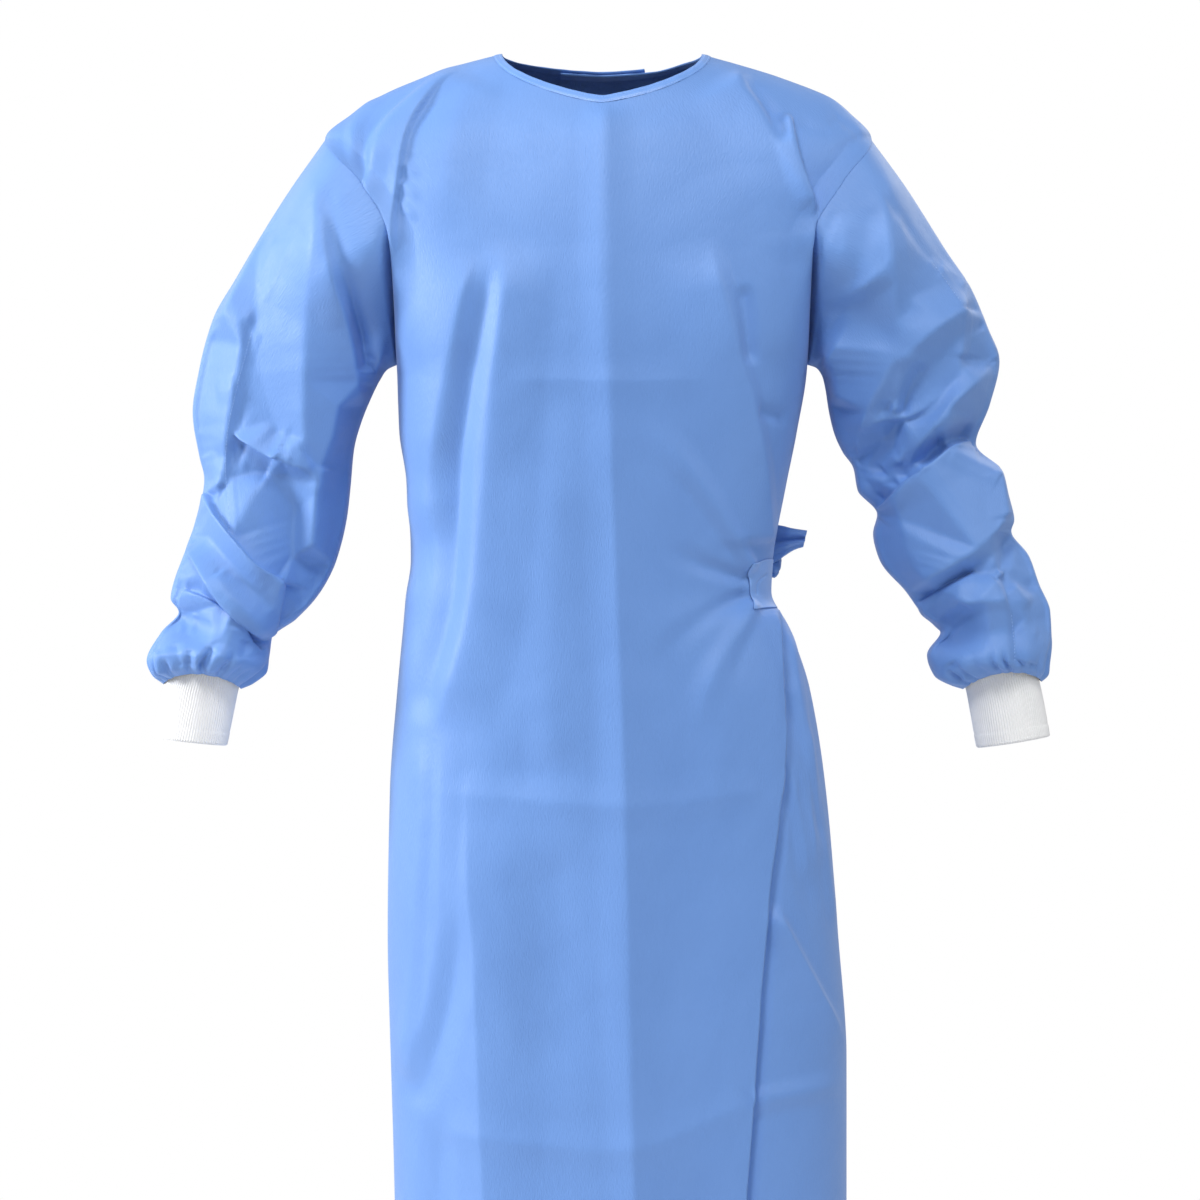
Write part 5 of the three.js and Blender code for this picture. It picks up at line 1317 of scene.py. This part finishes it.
# neck binding: a tape folded over the neck edges of the three panels
binding = {
    "width": 8.0,
    "proud": 0.8,
    "edge": 0.9,             # where the tape turns over the neck edge, and how far it stands above
    "turn": 1.3,
    "ripple": (0.12, 0.1),
    "foot": 9,               # how far below the edge its downward direction is taken
    "columns": 640,
    "flat": (0.017, 0.61),
    "stitchPitch": 2.7,
    "stitchRows": (2.0, 6.3),
}


def neckStops():
    # neck edge from the inner back round the front to the outer back
    edges = [innerGrid[:, :backCount], frontGrid[:, ::-1], outerGrid[:, 1:]]
    rows = [backRows, rowShares(frontPanel["rows"]), backRows]
    below = [np.argmin(np.abs(heights + binding["foot"])) for heights in rows]
    tops = np.concatenate([grid[0] for grid in edges])
    lowers = np.concatenate([grid[row] for grid, row in zip(edges, below)])
    length = arcLength(tops, 0)
    even = np.linspace(0, length[-1], binding["columns"])
    keep = np.concatenate([[True], np.diff(length) > 1e-6])
    top = np.stack([np.interp(even, length[keep], tops[keep, k]) for k in range(3)], axis=-1)
    low = np.stack([np.interp(even, length[keep], lowers[keep, k]) for k in range(3)], axis=-1)
    top, low = softened(top, 6), softened(low, 6)
    down = unit(low - top)
    out = unit(np.cross(down, unit(np.gradient(top, axis=0))))
    if np.sum((top - top.mean(axis=0)) * out) < 0:
        out = -out
    return top, down, out, even


neckTop, neckDown, neckOut, neckAlong = neckStops()
tapeEdge, tapeRun = binding["edge"], binding["width"] - binding["edge"]


def tapeBulge(share):
    # how far the tape stands out at a share of its width
    return binding["proud"] * (0.55 + 0.45 * np.sin(math.pi * share))


tapeSection = [(tapeEdge + tapeRun * step, tapeBulge(step)) for step in np.linspace(1, 0, 9)]
for turn in np.linspace(0, math.pi, 7)[1:-1]:
    tapeSection.append((tapeEdge - binding["turn"] * math.sin(turn), binding["proud"] * math.cos(turn) * 0.6))
tapeSection += [(tapeEdge + tapeRun * step, -binding["proud"]) for step in np.linspace(0, 1, 7)]
tapeSection = np.array(tapeSection)
rippleFine, rippleBroad = binding["ripple"]
ripple = rippleFine * np.sin(neckAlong / 3.1) + rippleBroad * np.sin(neckAlong / 7.7 + 1)
tapeDrop = tapeSection[:, 0][:, None, None]
tapeOut = (tapeSection[:, 1][:, None] + ripple[None, :] * (tapeSection[:, 1][:, None] > 0))[..., None]
tapeGrid = neckTop[None] + neckDown[None] * tapeDrop + neckOut[None] * tapeOut
tapeAcross = np.cumsum(np.abs(tapeSection[:, 0]))[:, None] * 0.2
tapeUv = np.stack(np.broadcast_arrays(neckAlong[None, :], tapeAcross), axis=-1) * mm
bindingPiece = gridPiece("neck_binding_tape", tapeGrid, tapeUv,
                         lambda p: (0, -1, 0) if p.y < 0 else (0, 1, 0))
finishPiece(bindingPiece, "neck_binding", bindingCloth)


def stitchRow(bm, points, outs, pitch, length, radius):
    # sewn stitches: small rounded dashes along a line of points
    steps = arcLength(points, 0)

    def valueAt(values, place):
        return np.array([np.interp(place, steps, values[:, k]) for k in range(3)])

    for place in np.arange(pitch / 2, steps[-1], pitch):
        ends = [valueAt(points, place + s * length / 2) for s in (-1, 1)]
        out = valueAt(outs, place)
        along = Vector(ends[1] - ends[0])
        if along.length < 1e-6:
            continue
        along.normalize()
        up = Vector(out).normalized()
        cross = along.cross(up).normalized()
        up = cross.cross(along)
        shape = Matrix((along * length / 2, cross * radius, up * radius)).transposed() * mm
        middle = Matrix.Translation(Vector((ends[0] + ends[1]) / 2) * mm)
        bmesh.ops.create_icosphere(bm, subdivisions=1, radius=1, matrix=middle @ shape.to_4x4())


def stitchPiece(name, rows, slot, pitch=2.7, length=1.9, radius=0.28):
    bm = bmesh.new()
    for points, outs in rows:
        stitchRow(bm, points, outs, pitch, length, radius)
    mesh = bpy.data.meshes.new(name)
    bm.to_mesh(mesh)
    bm.free()
    mesh.polygons.foreach_set("use_smooth", np.ones(len(mesh.polygons), bool))
    piece = linkPiece(name, mesh)
    finishPiece(piece, None, seamThread)
    return piece


neckRows = []
for drop in binding["stitchRows"]:
    lift = tapeBulge((drop - tapeEdge) / tapeRun) + ripple
    neckRows.append((neckTop + neckDown * drop + neckOut * lift[:, None], neckOut))
neckStitches = stitchPiece("neck_binding_stitches", neckRows, "binding", binding["stitchPitch"])
print("neck bound and stitched", len(neckStitches.data.polygons))


def surfaceLine(grid, path, lift):
    # points of a sleeve under a line in the front view, with their outward directions
    flat = grid.reshape(-1, 3)
    normals = gridNormals(grid, closed=True).reshape(-1, 3)
    if np.sum(normals[:, 1] * (flat[:, 1] - np.mean(flat[:, 1]))) < 0:
        normals = -normals
    facing = normals[:, 1] < -0.05
    flat, normals = flat[facing], normals[facing]
    line = smoothPath(path, 3)
    steps = arcLength(line, 0)
    even = np.arange(0, steps[-1], 1.5)
    xs, zs = np.interp(even, steps, line[:, 0]), np.interp(even, steps, line[:, 1])
    points, outs = [], []
    for x, z in zip(xs, zs):
        close, weight = nearestPoints(flat, x, z)
        y = np.sum(flat[close, 1] * weight)
        out = unit(np.sum(normals[close] * weight[:, None], axis=0))
        points.append(np.array([x, y, z]) + out * lift)
        outs.append(out)
    return softened(np.array(points), 4), np.array(outs)


sleeveStitches = {"pitch": 3.2, "length": 2.0, "radius": 0.3}
stitchLift = 0.1
seamLines = {
    "right": sleeveLine((252, 332), (246, 352), (240, 374), (235, 394), (230, 414), (227, 434), (225, 456),
                        (225, 478), (228, 500), (229, 520), (230, 538)),
    "leftUpper": sleeveLine((931, 262), (942, 276), (955, 293), (963, 306)),
    "leftLower": sleeveLine((1010, 614), (1012, 632), (1013, 655), (1013, 678)),
}
rightRows = [surfaceLine(rightGrid, seamLines["right"], stitchLift)]
leftRows = [surfaceLine(leftGrid, seamLines[key], stitchLift) for key in ("leftUpper", "leftLower")]
rightSeam = stitchPiece("sleeve_seam_right", rightRows, "gown_cloth", **sleeveStitches)
leftSeam = stitchPiece("sleeve_seam_left", leftRows, "gown_cloth", **sleeveStitches)
print("sleeve seams stitched")

# waist tie: tab on the front, tie round the left side, knot and tail
belt = {
    "top": -469.5,
    "bottom": -514.5,
    "tabStart": 133,
    "tabRound": 5,           # how far the upper and then the lower corner of the tab lie back
    "tabSlant": 3.9,
    "weld": bodyLine((757, 593), (757, 588), (758, 584), (762, 578), (767, 575)),
    "lift": 0.5,
    "backLift": 1.9,
    "thick": 0.6,
    "frontFlat": (0.046, 0.135),
    "backFlat": (0.047, 0.155),
    "rows": 46,
    "tabColumns": 40,
    "columns": 26,           # of each stretch round the side and the back
    "tabDrop": (4, 1),       # how far the upper and the lower edge fall towards the end of the tab
    "weldDeep": 1.1,
    "knotPlace": 10 / 12,    # share of the inner back at which the knot lies
    "backEnd": 10 / 13,      # share of the outer back at which the tie ends
    "flapReach": 5,          # how far short of the free edge the tie starts to climb over it
}


def gridAt(grid, normals, heights, columns):
    # points of a panel and their outward directions, at heights and places across it
    points = np.empty(heights.shape + (3,))
    outs = np.empty_like(points)
    for k in np.ndindex(heights.shape):
        low = min(int(columns[k]), grid.shape[1] - 2)
        share = columns[k] - low
        line = grid[:, low] * (1 - share) + grid[:, low + 1] * share
        out = normals[:, low] * (1 - share) + normals[:, low + 1] * share
        for axis in range(3):
            points[k][axis] = np.interp(-heights[k], -line[:, 2], line[:, axis])
            outs[k][axis] = np.interp(-heights[k], -line[:, 2], out[:, axis])
    return points, outs


def tapePiece(name, node, outside, outs, thick, material):
    # a flat tie as a closed thin wall round its outside grid
    inside = outside - outs * thick
    loop = np.concatenate([outside, inside[::-1], outside[:1]], axis=0)
    piece = gridPiece(name, loop, clothUv(loop))
    bm = bmesh.new()
    bm.from_mesh(piece.data)
    bmesh.ops.remove_doubles(bm, verts=bm.verts, dist=1e-6)
    bmesh.ops.holes_fill(bm, edges=[e for e in bm.edges if e.is_boundary], sides=0)
    bmesh.ops.recalc_face_normals(bm, faces=bm.faces)
    bm.to_mesh(piece.data)
    bm.free()
    finishPiece(piece, node, material)
    return piece


tieLevel = np.linspace(0, 1, belt["rows"])[:, None]


def tieHeights(tops, bottoms):
    return tops + (bottoms - tops) * tieLevel


def columnsAt(grid, heights, starts, count):
    # places across a panel, spread from a start to its side edge at each height
    out = np.empty((len(heights), count))
    for k, (height, start) in enumerate(zip(heights, starts)):
        across = [np.interp(-height, -column[:, 2], column[:, 0]) for column in grid.swapaxes(0, 1)]
        out[k] = np.interp(np.linspace(start, across[-1], count), across, np.arange(len(across)))
    return out


def tieStretch(grid, start, end):
    # points and outward directions of a stretch of the tie across a back
    columns = np.broadcast_to(np.linspace(start, end, belt["columns"]), (belt["rows"], belt["columns"]))
    heights = np.broadcast_to(tieHeights(belt["top"], belt["bottom"]), columns.shape)
    return gridAt(grid, gridNormals(grid) * back, heights, columns)


def joinedTie(*stretches):
    points = np.concatenate([stretch[0] for stretch in stretches], axis=1)
    outs = np.concatenate([stretch[1] for stretch in stretches], axis=1)
    return softenedGrid(points, 4), unit(softenedGrid(outs, 6))


tieDown = tieLevel[:, 0]
tabStarts = belt["tabStart"] + belt["tabRound"] * (1 - tieDown) ** 4 + belt["tabSlant"] * tieDown ** 2
tabColumns = columnsAt(frontGrid, tieHeights(belt["top"], belt["bottom"])[:, 0],
                       tabStarts, belt["tabColumns"])
tabEnd = smooth(0.7, 0, np.linspace(0, 1, belt["tabColumns"]))
tabHeights = tieHeights(belt["top"] - belt["tabDrop"][0] * tabEnd,
                        belt["bottom"] - belt["tabDrop"][1] * tabEnd)
knotColumn = backCount * belt["knotPlace"]
tab = gridAt(frontGrid, gridNormals(frontGrid) * front, tabHeights[:, :-1], tabColumns[:, :-1])
tiePoints, tieOuts = joinedTie(tab, tieStretch(innerGrid, backCount, knotColumn))
weldFar = np.abs(measurePath(smoothPath(belt["weld"]), tiePoints[..., 0], tiePoints[..., 2])[0])
weld = belt["weldDeep"] * np.exp(-weldFar ** 2) * (tiePoints[..., 1] < -20)
tieOutside = tiePoints + tieOuts * (belt["lift"] + belt["thick"] - weld)[..., None]
tabPiece = tapePiece("waist_tie_front", "belt_front", tieOutside, tieOuts, belt["thick"], paintedLightTieCloth)

# the tie on the back, over the free edge of the wrap
flapEdge = outerGrid[np.argmin(np.abs(outerGrid[:, -1, 2] - belt["top"])), -1, 0]
innerRowX = innerGrid[np.argmin(np.abs(innerGrid[:, -1, 2] - belt["top"])), :, 0]
flapColumn = np.interp(flapEdge + belt["flapReach"], innerRowX, np.arange(backCount + 1))
backPoints, backOuts = joinedTie(tieStretch(innerGrid, knotColumn - 0.2, flapColumn),
                                 tieStretch(outerGrid, backCount, backCount * belt["backEnd"]))
backOutside = backPoints + backOuts * (belt["backLift"] + belt["thick"])
backTie = tapePiece("waist_tie_back", "belt_back", backOutside, backOuts, belt["thick"], paintedLightTieCloth)

knotLow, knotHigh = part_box("belt_knot")
knotCentre = (knotLow + knotHigh) / 2


def makeKnot():
    # a tied lump of cloth: two crossing wraps over a soft middle
    mesh = bpy.data.meshes.new("waist_tie_knot")
    bm = bmesh.new()
    bmesh.ops.create_icosphere(bm, subdivisions=5, radius=1)
    half = (knotHigh - knotLow) / 2
    for vert in bm.verts:
        p = vert.co.copy()
        crease = 0.10 * math.sin(5.5 * p.z + 3.2 * p.y + 1.2 * math.sin(4 * p.x))
        slant = p.z - 0.45 * p.y
        wrap = 0.10 * math.exp(-(slant / 0.32) ** 2) - 0.12 * math.exp(-((abs(slant) - 0.5) / 0.12) ** 2)
        small = 0.05 * abs(noise.noise(p * 3.0))
        grow = 0.9 + crease * 0.5 + wrap + small
        vert.co = Vector((p.x * half.x * grow, p.y * half.y * grow, p.z * half.z * grow)) + knotCentre
    uv = bm.loops.layers.uv.new("cloth")
    for face in bm.faces:
        face.smooth = True
        for loop in face.loops:
            loop[uv].uv = (loop.vert.co.y, loop.vert.co.z)
    bm.to_mesh(mesh)
    bm.free()
    piece = linkPiece("waist_tie_knot", mesh)
    finishPiece(piece, "belt_knot", gownCloth)


makeKnot()
tail = {
    # x, y, z of the middle, half width, lean of the tape
    "sections": [(158, 39, -455, 19, 0.04), (167, 34, -453.5, 16, 0.15), (175, 29, -452, 12, 0.35),
                 (183, 27, -450.5, 9, 0.5), (190, 26, -450, 7.5, 0.55)],
    "rows": 40,
    "columns": 30,
    "thick": 0.9,
    "fold": 3.0,             # depth of the fold along the tape, and of the creases in it
    "crease": 1.2,
    "flat": (0.033, 0.036),
}
tailRows = np.array(tail["sections"], float)
tailStops = np.linspace(0, 1, len(tailRows))
tailForm = curveThrough(tailStops, tailRows)(np.linspace(0, 1, tail["rows"]))
across = np.linspace(1, -1, tail["columns"])
fold = tail["fold"] * np.sin(across * 4.4 + 0.4) * (1 - across ** 2) + tail["crease"] * np.sin(across * 9)
middleX, middleY, middleZ, tailHalf, tailLean = tailForm.T[..., None]
tailX = middleX + tailHalf * across * tailLean * 0.4
tailY = middleY - tailHalf * across * tailLean + fold[None, :]
tailZ = middleZ + tailHalf * across
tailGrid = np.stack([tailX, tailY, tailZ], axis=-1)
tailOuts = gridNormals(tailGrid)
if np.mean(tailOuts[..., 1]) > 0:
    tailOuts = -tailOuts
tailPiece = tapePiece("waist_tie_tail", "belt_tail", tailGrid, tailOuts, tail["thick"], paintedLightTieCloth)
print("waist tie laid and knotted")

# floor, light and camera
studio = {
    "floor": -1.5,
    "floorRadius": 2.4,
    # name, place, height of the target, size and power of each light
    "lights": [
        ("key_light", (-1.2, -3.1, 2.9), -0.5, 1.2, 96),
        ("side_light", (-3.9, -0.6, 0.8), -0.6, 1.2, 165),
        ("top_light", (0.9, -2.9, 3.6), -0.5, 1.4, 54),
        ("fill_light", (3.3, -1.7, 1.9), -0.5, 1.4, 42),
        ("back_light_right", (1.9, 2.8, 1.3), -0.5, 1.8, 25),
        ("back_light_left", (-2.3, 2.4, 0.6), -0.6, 2.0, 12.5),
    ],
    "ambient": 0.34,
    "distance": 4.5,
    "frameWidth": 1.116,
    "centre": (-0.0019, -0.507),
}
floorMesh = bpy.data.meshes.new("studio_floor")
bm = bmesh.new()
bmesh.ops.create_circle(bm, cap_ends=True, segments=96, radius=studio["floorRadius"],
                        matrix=Matrix.Translation((0, 0, studio["floor"])))
bm.to_mesh(floorMesh)
bm.free()
floor = linkPiece("studio_floor", floorMesh)
floorMaterial, _, floorShader = newMaterial("pale_floor")
floorShader.inputs["Base Color"].default_value = (0.82, 0.82, 0.83, 1)
floorShader.inputs["Roughness"].default_value = 0.8
floor.data.materials.append(floorMaterial)


def softLight(name, place, targetHeight, size, power):
    data = bpy.data.lights.new(name, "AREA")
    data.shape = "DISK"
    data.size = size
    data.energy = power
    lamp = linkPiece(name, data)
    lamp.location = place
    lamp.rotation_euler = (Vector((0, 0, targetHeight)) - Vector(place)).to_track_quat("-Z", "Y").to_euler()


for light in studio["lights"]:
    softLight(*light)

world = bpy.data.worlds.new("studio")
world.use_nodes = True
bpy.context.scene.world = world
worldTree = world.node_tree
worldTree.nodes.clear()
seen = addNode(worldTree, "ShaderNodeBackground", Color=(1, 1, 1, 1), Strength=1.0)
felt = addNode(worldTree, "ShaderNodeBackground", Color=(0.96, 0.98, 1, 1), Strength=studio["ambient"])
lightPath = addNode(worldTree, "ShaderNodeLightPath")
choose = addNode(worldTree, "ShaderNodeMixShader")
worldOut = addNode(worldTree, "ShaderNodeOutputWorld")
worldTree.links.new(lightPath.outputs["Is Camera Ray"], choose.inputs[0])
worldTree.links.new(felt.outputs["Background"], choose.inputs[1])
worldTree.links.new(seen.outputs["Background"], choose.inputs[2])
worldTree.links.new(choose.outputs["Shader"], worldOut.inputs["Surface"])

cameraData = bpy.data.cameras.new("camera")
cameraData.sensor_fit = "HORIZONTAL"
cameraData.sensor_width = 36
cameraData.lens = 36 * studio["distance"] / studio["frameWidth"]
camera = linkPiece("camera", cameraData)
camera.location = (studio["centre"][0], -studio["distance"], studio["centre"][1])
camera.rotation_euler = (math.pi / 2, 0, 0)
bpy.context.scene.camera = camera
bpy.context.scene.view_settings.view_transform = "Standard"
print("studio set")
